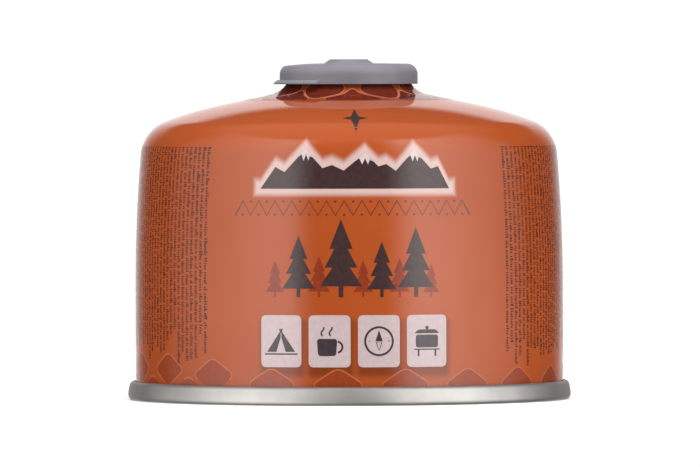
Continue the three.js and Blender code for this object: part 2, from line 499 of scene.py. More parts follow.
@dataclass(frozen=True)
class Lacquer:
    """Clear gloss coat over a colour; the wall's own finish and that of every ink on it."""

    coat_weight: float = 0.85
    coat_roughness: float = 0.035
    coat_ior: float = 1.5
    under_roughness: float = 0.6
    under_metal: float = 0.15
    ripple: float = 0.000004
    ripple_scale: float = 260.0
    mottle_scale: float = 900.0
    mottle_edge: Point = (0.35, 0.65)

    def coat(self, graph: Graph, sockets: bpy.types.NodeInputs) -> None:
        """Set the gloss that wall and inks share, which the coat alone gives.

        Args:
            graph: The material's graph.
            sockets: The shader's sockets.
        """
        sockets["Roughness"].default_value = self.under_roughness
        sockets["Metallic"].default_value = self.under_metal
        sockets["Specular IOR Level"].default_value = 0.0
        sockets["Coat Weight"].default_value = self.coat_weight
        sockets["Coat Roughness"].default_value = self.coat_roughness
        sockets["Coat IOR"].default_value = self.coat_ior
        ripple = graph.bump(graph.noise(self.ripple_scale), self.ripple)
        graph.feed(sockets["Coat Normal"], ripple)

    def ink(self, name: str, colour: Colour, other: Colour) -> bpy.types.Material:
        """Make an ink with a slight mottle.

        Args:
            name: Name of the material.
            colour: The darker colour.
            other: The lighter colour.

        Returns:
            The material.
        """
        material, graph, sockets = shader(name)
        self.coat(graph, sockets)
        mottle = graph.fade(graph.noise(self.mottle_scale, 3.0), *self.mottle_edge)
        graph.feed(sockets["Base Color"], graph.mix(mottle, colour, other))
        return material


@dataclass(frozen=True)
class SatinSteel:
    """Rolled steel: fine lines round the axis and a soft uneven sheen."""

    name: str
    colour: Colour
    roughness: float
    spread: float = 0.12
    cloud_scale: float = 90.0
    cloud_edge: Point = (0.3, 0.7)
    cloud_shade: float = 0.86
    line_scale: float = 1500.0
    line_stretch: tuple[float, float, float] = (1, 1, 6)
    line_depth: float = 0.000006

    def make(self) -> bpy.types.Material:
        """Make the material.

        Returns:
            The material.
        """
        material, graph, sockets = shader(self.name)
        cloud = graph.fade(graph.noise(self.cloud_scale, 3.0), *self.cloud_edge)
        lines = graph.noise(self.line_scale, 2.0, self.line_stretch)
        dark = (*[c * self.cloud_shade for c in self.colour[:3]], 1.0)
        graph.feed(sockets["Base Color"], graph.mix(cloud, dark, self.colour))
        rough = graph.math("MULTIPLY_ADD", lines, self.spread, self.roughness - self.spread / 2)
        graph.feed(sockets["Roughness"], rough)
        graph.feed(sockets["Normal"], graph.bump(lines, self.line_depth))
        sockets["Metallic"].default_value = 1.0
        return material


@dataclass(frozen=True)
class Moulded:
    """Moulded plastic or rubber with a fine spark-eroded grain."""

    name: str
    colour: Colour
    roughness: float
    grain: float = 0.00002
    grain_scale: float = 2600.0
    spread: float = 0.16
    cloud_scale: float = 220.0
    cloud_edge: Point = (0.3, 0.7)
    cloud_light: float = 1.08

    def make(self) -> bpy.types.Material:
        """Make the material.

        Returns:
            The material.
        """
        material, graph, sockets = shader(self.name)
        cloud = graph.fade(graph.noise(self.cloud_scale, 3.0), *self.cloud_edge)
        light = (*[min(1.0, c * self.cloud_light) for c in self.colour[:3]], 1.0)
        graph.feed(sockets["Base Color"], graph.mix(cloud, self.colour, light))
        grain = graph.noise(self.grain_scale, 3.0)
        rough = graph.math("MULTIPLY_ADD", grain, self.spread, self.roughness - self.spread / 2)
        graph.feed(sockets["Roughness"], rough)
        graph.feed(sockets["Normal"], graph.bump(grain, self.grain))
        return material


@dataclass
class CanSurface:
    """The can's outside, from the seam up to the mouth bead, as tangent arcs.

    The slopes are those at which the dome, the crown, the shoulder and the wall begin, in
    degrees from level, and the radii are those of crown, shoulder and wall.
    """

    wall_radius: float = WALL_RADIUS
    foot: float = 2.2
    mouth_top: float = 80.5
    mouth_radius: float = 12.7
    bead_radius: float = 1.13
    neck_lean: float = 22.2
    neck_fillet: float = 6.21
    neck_steps: int = 18
    slopes: tuple[float, ...] = (11.65, 20.93, 85.11, 90.0)
    radii: tuple[float, ...] = (92.6, 9.38, 384.0)
    steps: tuple[int, ...] = (14, 30, 16)
    dome_steps: int = 8
    wall_steps: int = 6
    points: Outline = field(init=False)
    lengths: list[float] = field(init=False)

    def __post_init__(self) -> None:
        """Work out the chain of points and how far each lies along the section."""
        self.bead = (self.mouth_radius + self.bead_radius, self.mouth_top - self.bead_radius)
        lean = math.radians(self.neck_lean)
        self.neck = (
            self.mouth_radius + 2 * self.bead_radius + self.neck_fillet * math.cos(lean),
            self.mouth_top - self.bead_radius + self.neck_fillet * math.sin(lean),
        )
        tilt = [math.radians(s) for s in self.slopes]
        widths = [r * (math.sin(b) - math.sin(a)) for r, a, b in zip(self.radii, tilt, tilt[1:])]
        start = self.neck[0] - self.neck_fillet * math.sin(tilt[0])
        straight = self.wall_radius - start - sum(widths)
        neck_turn = (180 + self.neck_lean, 270 - self.slopes[0])
        chain = arc(self.neck, self.neck_fillet, *neck_turn, self.neck_steps)
        corner = (start + straight, chain[-1][1] - straight * math.tan(tilt[0]))
        chain += line(chain[-1], corner, self.dome_steps)
        at = corner
        for radius, low, a, b, steps in zip(
            self.radii, tilt, self.slopes, self.slopes[1:], self.steps
        ):
            centre = (at[0] - radius * math.sin(low), at[1] - radius * math.cos(low))
            chain += arc(centre, radius, 90 - a, 90 - b, steps)
            at = chain[-1]
        chain += line(at, (self.wall_radius, self.foot), self.wall_steps)
        self.points = distinct(list(reversed(chain)))
        self.lengths = [0.0]
        for a, b in zip(self.points, self.points[1:]):
            self.lengths.append(self.lengths[-1] + math.dist(a, b))

    def along_at_height(self, z: float) -> float:
        """Find a height on the section.

        Args:
            z: The height.

        Returns:
            The distance along the section from the can's foot.
        """
        for i, (a, b) in enumerate(zip(self.points, self.points[1:])):
            if a[1] <= z <= b[1]:
                return self.lengths[i] + math.dist(a, b) * (z - a[1]) / (b[1] - a[1])
        return self.lengths[-1]

    def along_at_radius(self, radius: float) -> float:
        """Find a radius on the dome.

        Args:
            radius: The radius.

        Returns:
            The distance along the section from the can's foot.
        """
        for i, (a, b) in enumerate(zip(self.points, self.points[1:])):
            if b[0] <= radius <= a[0] and a[0] > b[0]:
                return self.lengths[i] + math.dist(a, b) * (a[0] - radius) / (a[0] - b[0])
        return self.lengths[-1]

    def neck_height(self, radius: float) -> float:
        """Give the height of the neck's flare where it has a radius."""
        return self.neck[1] - math.sqrt(self.neck_fillet**2 - (self.neck[0] - radius) ** 2)

    def round_at(self, degrees: float) -> float:
        """Give the distance round the wall at an angle from the front."""
        return math.radians(degrees) * self.wall_radius

    def place(self, u: float, along: float, lift: float) -> tuple[Vector, Vector]:
        """Find a point on the wall.

        Args:
            u: Distance round the wall from the front, to the right, in millimetres.
            along: Distance along the section from the can's foot.
            lift: Height above the surface.

        Returns:
            The point in metres, and the surface's normal there.
        """
        i = 0
        while i < len(self.lengths) - 2 and self.lengths[i + 1] < along:
            i += 1
        a, b = self.points[i], self.points[i + 1]
        span = self.lengths[i + 1] - self.lengths[i]
        share = (along - self.lengths[i]) / span
        slopes = []
        for k in (i, i + 1):
            p, q = self.points[max(k - 1, 0)], self.points[min(k + 1, len(self.points) - 1)]
            slopes.append(Vector((q[1] - p[1], p[0] - q[0])).normalized())
        normal = (slopes[0] * (1 - share) + slopes[1] * share).normalized()
        r = a[0] + (b[0] - a[0]) * share + normal[0] * lift
        z = a[1] + (b[1] - a[1]) * share + normal[1] * lift
        turn = u / self.wall_radius
        out = Vector((math.sin(turn), -math.cos(turn), 0))
        position = Vector((out.x * r, out.y * r, z)) * MM
        return position, Vector((out.x * normal[0], out.y * normal[0], normal[1]))


@dataclass
class Can:
    """The drawn can with its contents, lacquered outside."""

    surface: CanSurface
    sheet: float = CAN_SHEET
    gap: float = SEAT_GAP
    facets: int = 384
    deep: Colour = linear(148, 66, 27)
    bright: Colour = linear(154, 71, 32)
    cloud_scale: float = 28.0
    cloud_edge: Point = (0.3, 0.7)
    shade_colour: Colour = linear(52, 25, 17)
    glow_colour: Colour = linear(186, 160, 154)
    glow_squeeze: float = 0.72
    glow_edge: Point = (0.7, 2.4)

    def section(self, cup: ValveCup, core: Valve, end: BottomEnd) -> Outline:
        """Give the whole section, from the underside round to the valve's pocket.

        Args:
            cup: The valve cup, which the mouth takes.
            core: The valve, which the pocket takes.
            end: The bottom end, which the can's underside follows.

        Returns:
            The section's points.
        """
        s = self.surface
        under = cup.well_under - self.gap
        corner = cup.well_corner + self.gap
        nozzle_room = core.nozzle / 2 + self.gap
        pocket = [
            (0, core.nozzle_under - self.gap),
            (nozzle_room, core.nozzle_under - self.gap),
            (nozzle_room, core.under - self.gap),
            (cup.boss_inside, core.under - self.gap),
            (cup.boss_inside, under),
            *arc((s.mouth_radius - corner, under + corner), corner, 270, 360, 5),
            *cup.crimped_wall(0.0),
        ]
        return [
            *end.panel(end.sheet + self.gap),
            *arc(end.recess_centre, end.recess_corner + end.sheet + self.gap, 90, 0, 5),
            (s.wall_radius - self.sheet, s.foot),
            *s.points,
            *arc(s.bead, s.bead_radius, 0, 180, 10),
            *reversed(pocket),
        ]

    def lacquer(self, tiles: Tiles, front: FrontPrint) -> bpy.types.Material:
        """Make the orange lacquer, with the soft glow and the tiles' soft shades in its print.

        Args:
            tiles: The tiles that throw the shades.
            front: The print that has the glow.

        Returns:
            The material.
        """
        material, graph, sockets = shader("orange_lacquer")
        Lacquer().coat(graph, sockets)
        x, y, z = graph.axes("Object")
        turn = graph.math("ARCTAN2", x, graph.math("MULTIPLY", y, -1.0))
        u = graph.math("MULTIPLY", turn, self.surface.wall_radius)
        v = graph.math("DIVIDE", z, MM)
        cloud = graph.fade(graph.noise(self.cloud_scale, 2.0), *self.cloud_edge)
        colour = graph.mix(cloud, self.deep, self.bright)
        for centre in tiles.shade_middles():
            shade = self.soft_box(graph, u, v, centre, tiles.shade_half(), tiles.shade_blur)
            dim = graph.math("MULTIPLY", shade, tiles.shade_depth)
            colour = graph.mix(dim, colour, self.shade_colour)
        colour = graph.mix(self.glow(graph, u, v, front), colour, self.glow_colour)
        graph.feed(sockets["Base Color"], colour)
        return material

    def glow(self, graph: Graph, u: object, v: object, front: FrontPrint) -> bpy.types.NodeSocket:
        """Give the mask of the pale glow that follows the ridge's outline.

        Args:
            graph: Graph to write to.
            u: Distance round the wall.
            v: Height.
            front: The print that holds the ridge.

        Returns:
            The mask, from 0 to 1.
        """
        left, right = front.ridge_left, front.ridge_right
        low, tall = front.ridge_low, front.ridge_high - front.ridge_low
        curve = graph.node("ShaderNodeFloatCurve")
        points = curve.mapping.curves[0].points
        for peak in front.peaks:
            points.new(*peak)
        for point, step in zip(points, [(0.0, 0.0), *front.peaks, (1.0, 0.0)]):
            point.location = step
            point.handle_type = "VECTOR"
        curve.mapping.update()
        share = graph.math("DIVIDE", graph.math("SUBTRACT", u, left), right - left)
        share = graph.math("MINIMUM", graph.math("MAXIMUM", share, 0.0), 1.0)
        graph.feed(curve.inputs["Value"], share)
        top = graph.math("MULTIPLY_ADD", curve.outputs[0], tall, low)
        over = graph.math("MULTIPLY", graph.math("SUBTRACT", v, top), self.glow_squeeze)
        under = graph.math("SUBTRACT", low, v)
        left_of, right_of = graph.math("SUBTRACT", left, u), graph.math("SUBTRACT", u, right)
        beside = graph.math("MAXIMUM", left_of, right_of)
        far = graph.math("MAXIMUM", graph.math("MAXIMUM", over, under), beside)
        return graph.inverse(graph.fade(far, *self.glow_edge))

    @staticmethod
    def soft_box(graph: Graph, u: object, v: object, centre: Point, half: Point,
                 blur: float) -> bpy.types.NodeSocket:
        """Give 1 inside a box on the wall and 0 past a soft edge.

        Args:
            graph: Graph to write to.
            u: Distance round the wall.
            v: Height.
            centre: Middle of the box.
            half: Half its width and height.
            blur: Width of the soft edge.

        Returns:
            The mask.
        """
        far = []
        for value, middle, reach in zip((u, v), centre, half):
            away = graph.math("ABSOLUTE", graph.math("SUBTRACT", value, middle))
            over = graph.math("MAXIMUM", graph.math("SUBTRACT", away, reach), 0.0)
            far.append(graph.math("POWER", over, 2.0))
        distance = graph.math("SQRT", graph.math("ADD", *far))
        return graph.inverse(graph.fade(distance, 0.0, blur))

    def build(self, cup: ValveCup, core: Valve, end: BottomEnd, tiles: Tiles,
              front: FrontPrint) -> None:
        """Build and dress the can, round the pieces that seat in it and under its print."""
        piece = revolve("lacquered_can", self.section(cup, core, end), self.facets)
        settle(piece, Body.CAN, Slot.LACQUER, self.lacquer(tiles, front), "can_body")


@dataclass
class BottomEnd:
    """The domed end panel and the double seam round the foot."""

    wall_radius: float = WALL_RADIUS
    can_sheet: float = CAN_SHEET
    gap: float = SEAT_GAP
    sheet: float = 0.6
    seam_height: float = SEAM_HEIGHT
    seam_overhang: float = 1.9
    seam_shoulder: float = 1.2
    seam_bulge: float = 0.3
    bulge_power: float = 2.4
    bulge_steps: int = 10
    seam_foot: float = 1.25
    inner_foot: float = 0.9
    seam_floor: float = 1.9
    recess_depth: float = 5.6
    recess_corner: float = 1.0
    panel_rise: float = 3.4
    panel_steps: int = 16
    facets: int = 384

    def __post_init__(self) -> None:
        """Work out the seam's reach, the chuck wall and the panel's corner."""
        self.outside = self.wall_radius + self.seam_overhang
        self.chuck_outside = self.wall_radius - self.can_sheet - self.gap
        self.chuck_inside = self.chuck_outside - self.sheet
        corner = self.recess_corner
        self.recess_centre = (self.chuck_inside - corner, self.recess_depth - corner)

    def panel(self, lift: float) -> Outline:
        """Give the domed panel from the axis outwards.

        Args:
            lift: How far it is raised.

        Returns:
            The panel's points.
        """
        reach = self.recess_centre[0]
        radius = (reach**2 + self.panel_rise**2) / (2 * self.panel_rise)
        top = self.recess_depth + lift + self.panel_rise
        sweep = math.degrees(math.asin(reach / radius))
        return arc((0, top - radius), radius, 90, 90 - sweep, self.panel_steps)

    def face(self) -> Outline:
        """Give the seam's bulged face, between the round of its foot and its shoulder.

        Returns:
            The face's points, from the bottom up.
        """
        low, high = self.seam_foot, self.seam_height - self.seam_shoulder
        points = []
        for i in range(1, self.bulge_steps):
            t = i / self.bulge_steps
            back = self.seam_bulge * t**self.bulge_power
            points.append((self.outside - back, low + (high - low) * t))
        return points

    def section(self) -> Outline:
        """Give the whole section of panel and seam.

        Returns:
            The section's points.
        """
        hook = self.wall_radius + self.gap
        shoulder_out = self.outside - self.seam_bulge - self.seam_shoulder
        shoulder = (shoulder_out, self.seam_height - self.seam_shoulder)
        inner = (self.chuck_inside + self.inner_foot, self.inner_foot)
        return [
            *self.panel(0.0),
            *arc(self.recess_centre, self.recess_corner, 90, 0, 6),
            *arc(inner, self.inner_foot, 180, 270, 6),
            *arc((self.outside - self.seam_foot, self.seam_foot), self.seam_foot, 270, 360, 8),
            *self.face(),
            *arc(shoulder, self.seam_shoulder, 0, 90, 8),
            (hook, self.seam_height),
            (hook, self.seam_floor),
            (self.chuck_outside, self.seam_floor),
            *arc(self.recess_centre, self.recess_corner + self.sheet, 0, 90, 6),
            *reversed(self.panel(self.sheet)),
        ]

    def build(self) -> None:
        """Build and dress the end."""
        piece = revolve("seamed_end", self.section(), self.facets)
        finish = SatinSteel("seam_steel", linear(196, 193, 190), 0.52)
        settle(piece, Body.CAN, Slot.STEEL, finish.make(), "bottom_end")


@dataclass
class ValveCup:
    """The pressed cup crimped over the mouth, with a threaded boss, and its sealing ring."""

    surface: CanSurface
    gap: float = SEAT_GAP
    sheet: float = 0.55
    skirt_gap: float = 0.4
    gasket: float = 0.5
    gasket_spread: float = 38.0
    gasket_facets: int = 128
    crimp_radius: float = 0.9
    crimp_lean: float = 60.0
    well_straight: float = 0.7
    well_corner: float = 1.2
    thread_diameter: float = 11.11
    thread_pitch: float = 25.4 / 28
    thread_depth: float = 0.52
    thread_flat: float = 0.1  # share of the pitch that crest and root are flat
    thread_start: float = 0.5  # the thread runs out over these heights, at top and foot
    thread_end: float = 1.2
    thread_rings: int = 90
    boss_wall: float = 0.9
    boss_round: float = 0.8
    boss_plate: float = 0.8
    boss_fillet: float = 0.8
    pin_hole: float = 3.8
    facets: int = 144

    def __post_init__(self) -> None:
        """Work out the curl, the crimp, the well and the boss."""
        s = self.surface
        self.curl_inside = s.mouth_radius - self.gap - self.sheet
        self.skirt_inside = s.bead[0] + s.bead_radius + self.skirt_gap
        self.curl_outside = self.skirt_inside + self.sheet
        self.curl_radius = (self.curl_outside - self.curl_inside) / 2
        self.curl_top = s.mouth_top + 2 * self.gap + self.gasket + self.sheet
        self.curl = (self.curl_inside + self.curl_radius, self.curl_top - self.curl_radius)
        reach = s.bead_radius + self.gap + self.crimp_radius
        lean = math.radians(self.crimp_lean)
        self.crimp = (s.bead[0] - reach * math.cos(lean), s.bead[1] - reach * math.sin(lean))
        self.crimp_low = (s.bead[0], s.bead[1] - 2 * reach * math.sin(lean))
        self.well_under = self.crimp_low[1] - self.well_straight - self.well_corner
        self.boss_radius = self.thread_diameter / 2
        self.boss_inside = self.boss_radius - self.boss_wall
        self.boss_low = self.well_under + self.sheet + self.boss_fillet
        self.boss_high = self.curl_top - self.boss_round
        self.plate_under = self.curl_top - self.boss_plate

    def crimped_wall(self, offset: float) -> Outline:
        """Give the wall below the curl, from the bottom up.

        Args:
            offset: Distance from the can.

        Returns:
            The wall's points.
        """
        lean = self.crimp_lean
        hollow = self.surface.bead_radius + offset
        swell = self.crimp_radius + self.gap - offset
        return [
            *arc(self.crimp_low, hollow, 180, 180 - lean, 5),
            *arc(self.crimp, swell, -lean, lean, 8),
            *arc(self.surface.bead, hollow, 180 + lean, 180, 5),
        ]

    def thread(self, r: float, z: float, angle: float) -> Point:
        """Cut the right-handed thread into the boss's side.

        Args:
            r: Radius before the cut.
            z: Height.
            angle: Angle from +X, in radians.

        Returns:
            The new radius, and the height as it was.
        """
        if abs(r - self.boss_radius) > SMALL:
            return r, z
        phase = (z / self.thread_pitch + angle / (2 * math.pi)) % 1.0
        flank = (abs(phase - 0.5) * 2 - self.thread_flat) / (1 - 2 * self.thread_flat)
        cut = min(1.0, max(0.0, flank))
        top, foot = (self.boss_high - z) / self.thread_start, (z - self.boss_low) / self.thread_end
        return r - self.thread_depth * cut * max(0.0, min(1.0, top, foot)), z

    def section(self) -> Outline:
        """Give the cup's closed section.

        Returns:
            The section's points.
        """
        foot = self.surface.mouth_radius - self.gap - self.well_corner
        corner = (foot, self.well_under + self.well_corner)
        skirt_foot = self.surface.neck_height(self.skirt_inside - self.gap)
        inner = (self.boss_inside + self.boss_fillet, self.well_under + self.boss_fillet)
        outer = (self.boss_radius + self.boss_fillet, self.boss_low)
        side = ((self.boss_radius, self.boss_low), (self.boss_radius, self.boss_high))
        rim = (self.boss_radius - self.boss_round, self.boss_high)
        return [
            (self.pin_hole / 2, self.plate_under),
            (self.boss_inside, self.plate_under),
            *arc(inner, self.boss_fillet, 180, 270, 5),
            *arc(corner, self.well_corner, 270, 360, 5),
            *self.crimped_wall(self.gap),
            *arc(self.curl, self.curl_radius - self.sheet, 180, 0, 14),
            (self.skirt_inside, skirt_foot),
            (self.curl_outside, skirt_foot),
            *arc(self.curl, self.curl_radius, 0, 180, 24),
            *reversed(self.crimped_wall(self.gap + self.sheet)),
            *arc(corner, self.well_corner - self.sheet, 360, 270, 5),
            *arc(outer, self.boss_fillet, 270, 180, 6),
            *line(*side, self.thread_rings),
            *arc(rim, self.boss_round, 0, 90, 6),
            (self.pin_hole / 2, self.curl_top),
        ]

    def ring_section(self) -> Outline:
        """Give the closed section of the sealing ring under the curl.

        Returns:
            The section's points.
        """
        outer = self.curl_radius - self.sheet - self.gap
        low, high = 90 - self.gasket_spread, 90 + self.gasket_spread
        upper = arc(self.curl, outer, low, high, 8)
        return [*upper, *arc(self.curl, outer - self.gasket, high, low, 8)]

    def build(self) -> None:
        """Build and dress the cup and its sealing ring."""
        cup = revolve("valve_cup_pressed", self.section(), self.facets, closed=True, warp=self.thread)
        steel = SatinSteel("pressed_steel", linear(205, 203, 200), 0.26)
        settle(cup, Body.CAN, Slot.PRESSED, steel.make(), "valve_cup")
        ring = revolve("curl_gasket", self.ring_section(), self.gasket_facets, closed=True)
        rubber = Moulded("gasket_rubber", linear(34, 34, 34), 0.75)
        settle(ring, Body.CAN, Slot.RUBBER, rubber.make(), "cup_gasket")


@dataclass
class Valve:
    """Washer, plunger, spring and housing inside the boss."""

    cup: ValveCup
    gap: float = SEAT_GAP
    washer: float = 1.5
    pin: float = 2.6
    pin_round: float = 0.3
    stem: float = 2.4
    head: float = 1.4
    pin_rise: float = 1.4
    stem_drop: float = 2.6
    travel: float = 2.0
    head_gap: float = 0.35
    housing_wall: float = 0.9
    housing_floor: float = 1.0
    nozzle: float = 4.0
    nozzle_length: float = 2.0
    bore: float = 1.8
    wire: float = 0.5
    turns: int = 4
    turn_steps: int = 40
    wire_sides: int = 10
    coil_clear: float = 0.55
    facets: int = 96

    def __post_init__(self) -> None:
        """Work out the heights from the boss's plate down."""
        self.radius = self.cup.boss_inside - self.gap
        self.washer_top = self.cup.plate_under - self.gap
        self.washer_under = self.washer_top - self.washer
        self.plunger_top = self.washer_under - self.gap
        self.head_under = self.plunger_top - self.head
        self.stem_under = self.head_under - self.stem_drop
        self.inside = self.radius - self.housing_wall
        self.floor = self.stem_under - self.travel - self.gap
        self.under = self.floor - self.housing_floor
        self.nozzle_under = self.under - self.nozzle_length

    def plunger(self) -> Outline:
        """Give the plunger's section.

        Returns:
            The section's points.
        """
        pin, stem = self.pin / 2, self.stem / 2
        head = self.inside - self.head_gap
        tip = self.plunger_top + self.pin_rise
        return [
            (0, self.stem_under),
            (stem, self.stem_under),
            (stem, self.head_under),
            (head, self.head_under),
            (head, self.plunger_top),
            (pin, self.plunger_top),
            *arc((pin - self.pin_round, tip - self.pin_round), self.pin_round, 0, 90, 4),
            (0, tip),
        ]

    def sleeve(self) -> Outline:
        """Give the housing's closed section.

        Returns:
            The section's points.
        """
        bore, nozzle = self.bore / 2, self.nozzle / 2
        return [
            (bore, self.nozzle_under),
            (nozzle, self.nozzle_under),
            (nozzle, self.under),
            (self.radius, self.under),
            (self.radius, self.plunger_top),
            (self.inside, self.plunger_top),
            (self.inside, self.floor),
            (bore, self.floor),
        ]

    def coil(self) -> bpy.types.Object:
        """Build the spring as a round wire on a helix, with flat capped ends.

        Returns:
            The piece.
        """
        radius = self.stem / 2 + self.coil_clear + self.wire / 2
        low = self.floor + self.gap + self.wire / 2
        high = self.head_under - self.gap - self.wire / 2
        steps, sides = self.turn_steps * self.turns, self.wire_sides
        mesh = bmesh.new()
        rings = []
        for i in range(steps + 1):
            angle = 2 * math.pi * self.turns * i / steps
            height = low + (high - low) * i / steps
            middle = Vector((radius * math.cos(angle), radius * math.sin(angle), height))
            out = Vector((math.cos(angle), math.sin(angle), 0))
            ring = []
            for k in range(sides):
                lean = 2 * math.pi * k / sides
                at = middle + (out * math.cos(lean) + Vector((0, 0, math.sin(lean)))) * self.wire / 2
                ring.append(mesh.verts.new(at * MM))
            rings.append(ring)
        for a, b in zip(rings, rings[1:]):
            for k in range(sides):
                j = (k + 1) % sides
                mesh.faces.new((a[k], b[k], b[j], a[j])).smooth = True
        mesh.faces.new(rings[0])
        mesh.faces.new(list(reversed(rings[-1])))
        return into_object("spring_coil", mesh)

    def build(self) -> None:
        """Build and dress the valve's four pieces, and give the spring a mesh of its own."""
        rubber = Moulded("washer_rubber", linear(28, 28, 28), 0.8).make()
        white = Moulded("valve_plastic", linear(226, 222, 212), 0.45).make()
        wire = SatinSteel("spring_wire", linear(200, 200, 200), 0.25).make()
        hole = self.pin / 2 + self.gap
        section = box(hole, self.washer_under, self.radius, self.washer_top)
        washer = revolve("stem_washer", section, self.facets, closed=True)
        settle(washer, Body.CAN, Slot.RUBBER, rubber, "stem_gasket")
        plunger = revolve("plunger_moulding", self.plunger(), self.facets)
        settle(plunger, Body.PLUNGER, Slot.WHITE, white, "valve_plunger")
        sleeve = revolve("valve_sleeve", self.sleeve(), self.facets, closed=True)
        settle(sleeve, Body.CAN, Slot.WHITE, white, "valve_housing")
        spring = settle(self.coil(), Body.CAN, Slot.PRESSED, wire, "valve_spring")
        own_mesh(spring)


@dataclass
class Cap:
    """The push-on cap: skirt, plate, centre button, pull tab and thumb relief."""

    cup: ValveCup
    gap: float = SEAT_GAP
    wall: float = 0.94
    plate: float = 0.95
    foot_gap: float = 0.65
    foot_round: float = 0.25
    foot_edge: float = 0.1
    edge_round: float = 2.6
    inner_round: float = 1.65
    crown: float = 0.12
    button_top: float = 4.75
    button_foot: float = 5.95
    button_rise: float = 1.0
    button_round: float = 0.25
    button_lean: float = 35.0
    button_shoulder: float = 0.2
    tab_reach: float = 1.5
    tab_root: float = 0.7  # share of the wall, from inside, that the tab leaves as it is
    tab_thickness: float = 1.05
    tab_chamfer: float = 0.7
    tab_chamfer_run: float = 1.0
    tab_centre: float = 193.0
    tab_spread: float = 101.0
    tab_fade: float = 2.5
    ledge_inset: float = 0.001  # marks the section's last point that the tab still pushes out
    ledge_below: float = 0.02
    ledge_above: float = 0.05
    relief_start: float = 6.2
    relief_slope: float = 3.9
    relief_floor: float = 0.2
    top_steps: int = 40
    facets: int = 360
    crease: float = 28.0

    def __post_init__(self) -> None:
        """Work out radii and heights from the cup's curl."""
        self.inside = self.cup.curl_outside + self.gap
        self.outside = self.inside + self.wall
        self.under = self.cup.curl_top + self.gap
        self.top = self.under + self.plate
        self.foot = self.cup.surface.neck_height(self.inside - self.foot_gap)

    def shape(self, r: float, z: float, angle: float) -> Point:
        """Push the tab out of the wall's foot, and press the thumb relief into the top.

        Args:
            r: Radius before the change.
            z: Height before the change.
            angle: Angle from +X, in radians.

        Returns:
            The new radius and height.
        """
        away = (math.degrees(angle) - self.tab_centre + 180) % 360 - 180
        share = smooth((self.tab_spread / 2 - abs(away)) / self.tab_fade + 0.5)
        rise = z - self.foot
        if r > self.inside + self.tab_root * self.wall and rise <= self.tab_thickness + SMALL:
            slope = max(0.0, rise - (self.tab_thickness - self.tab_chamfer)) / self.tab_chamfer
            push = self.tab_reach - self.tab_chamfer_run * slope
            if rise > self.tab_thickness - SMALL and r > self.outside - SMALL:
                push = 0.0
            r += share * push
        towards = r * math.cos(math.radians(away)) - self.relief_start
        if z > self.under + self.relief_floor and towards > 0:
            z = min(z, self.top - towards * math.tan(math.radians(self.relief_slope)))
        return r, z

    def section(self) -> Outline:
        """Give the cap's section, before tab and relief.

        Returns:
            The section's points.
        """
        out = self.outside
        ledge = self.foot + self.tab_thickness
        knee = ledge - self.tab_chamfer
        ceiling = self.inside - self.inner_round
        foot_round = (self.inside + self.foot_round, self.foot + self.foot_round)
        rim = (out - self.edge_round, self.top - self.crown - self.edge_round)
        button_low = (self.button_foot + self.button_round, self.top + self.button_round)
        button_high = (
            self.button_top - self.button_shoulder,
            self.top + self.button_rise - self.button_round,
        )
        lean = self.button_lean
        return [
            *line((0, self.under), (ceiling, self.under), 6),
            *arc((ceiling, self.under - self.inner_round), self.inner_round, 90, 0, 8),
            (self.inside, self.foot + self.foot_round),
            *arc(foot_round, self.foot_round, 180, 270, 3),
            (out - self.foot_edge, self.foot),
            (out, self.foot + self.foot_edge),
            *line((out, self.foot + 2 * self.foot_edge), (out, knee), 2),
            *line((out, knee), (out - self.ledge_inset, ledge - self.ledge_below), 5),
            (out, ledge),
            *line((out, ledge + self.ledge_above), (out, rim[1]), 6),
            *arc(rim, self.edge_round, 0, 90, 18),
            *line((rim[0], self.top - self.crown), (button_low[0], self.top), self.top_steps),
            *arc(button_low, self.button_round, 270, 180 + lean, 3),
            *arc(button_high, self.button_round, lean, 90, 4),
            (0, self.top + self.button_rise),
        ]

    def build(self) -> None:
        """Build and dress the cap."""
        piece = revolve("grey_cap", self.section(), self.facets, warp=self.shape, crease=self.crease)
        finish = Moulded("cap_plastic", linear(107, 105, 112), 0.5, grain=0.000012)
        settle(piece, Body.CAP, Slot.GREY, finish.make(), "cap")


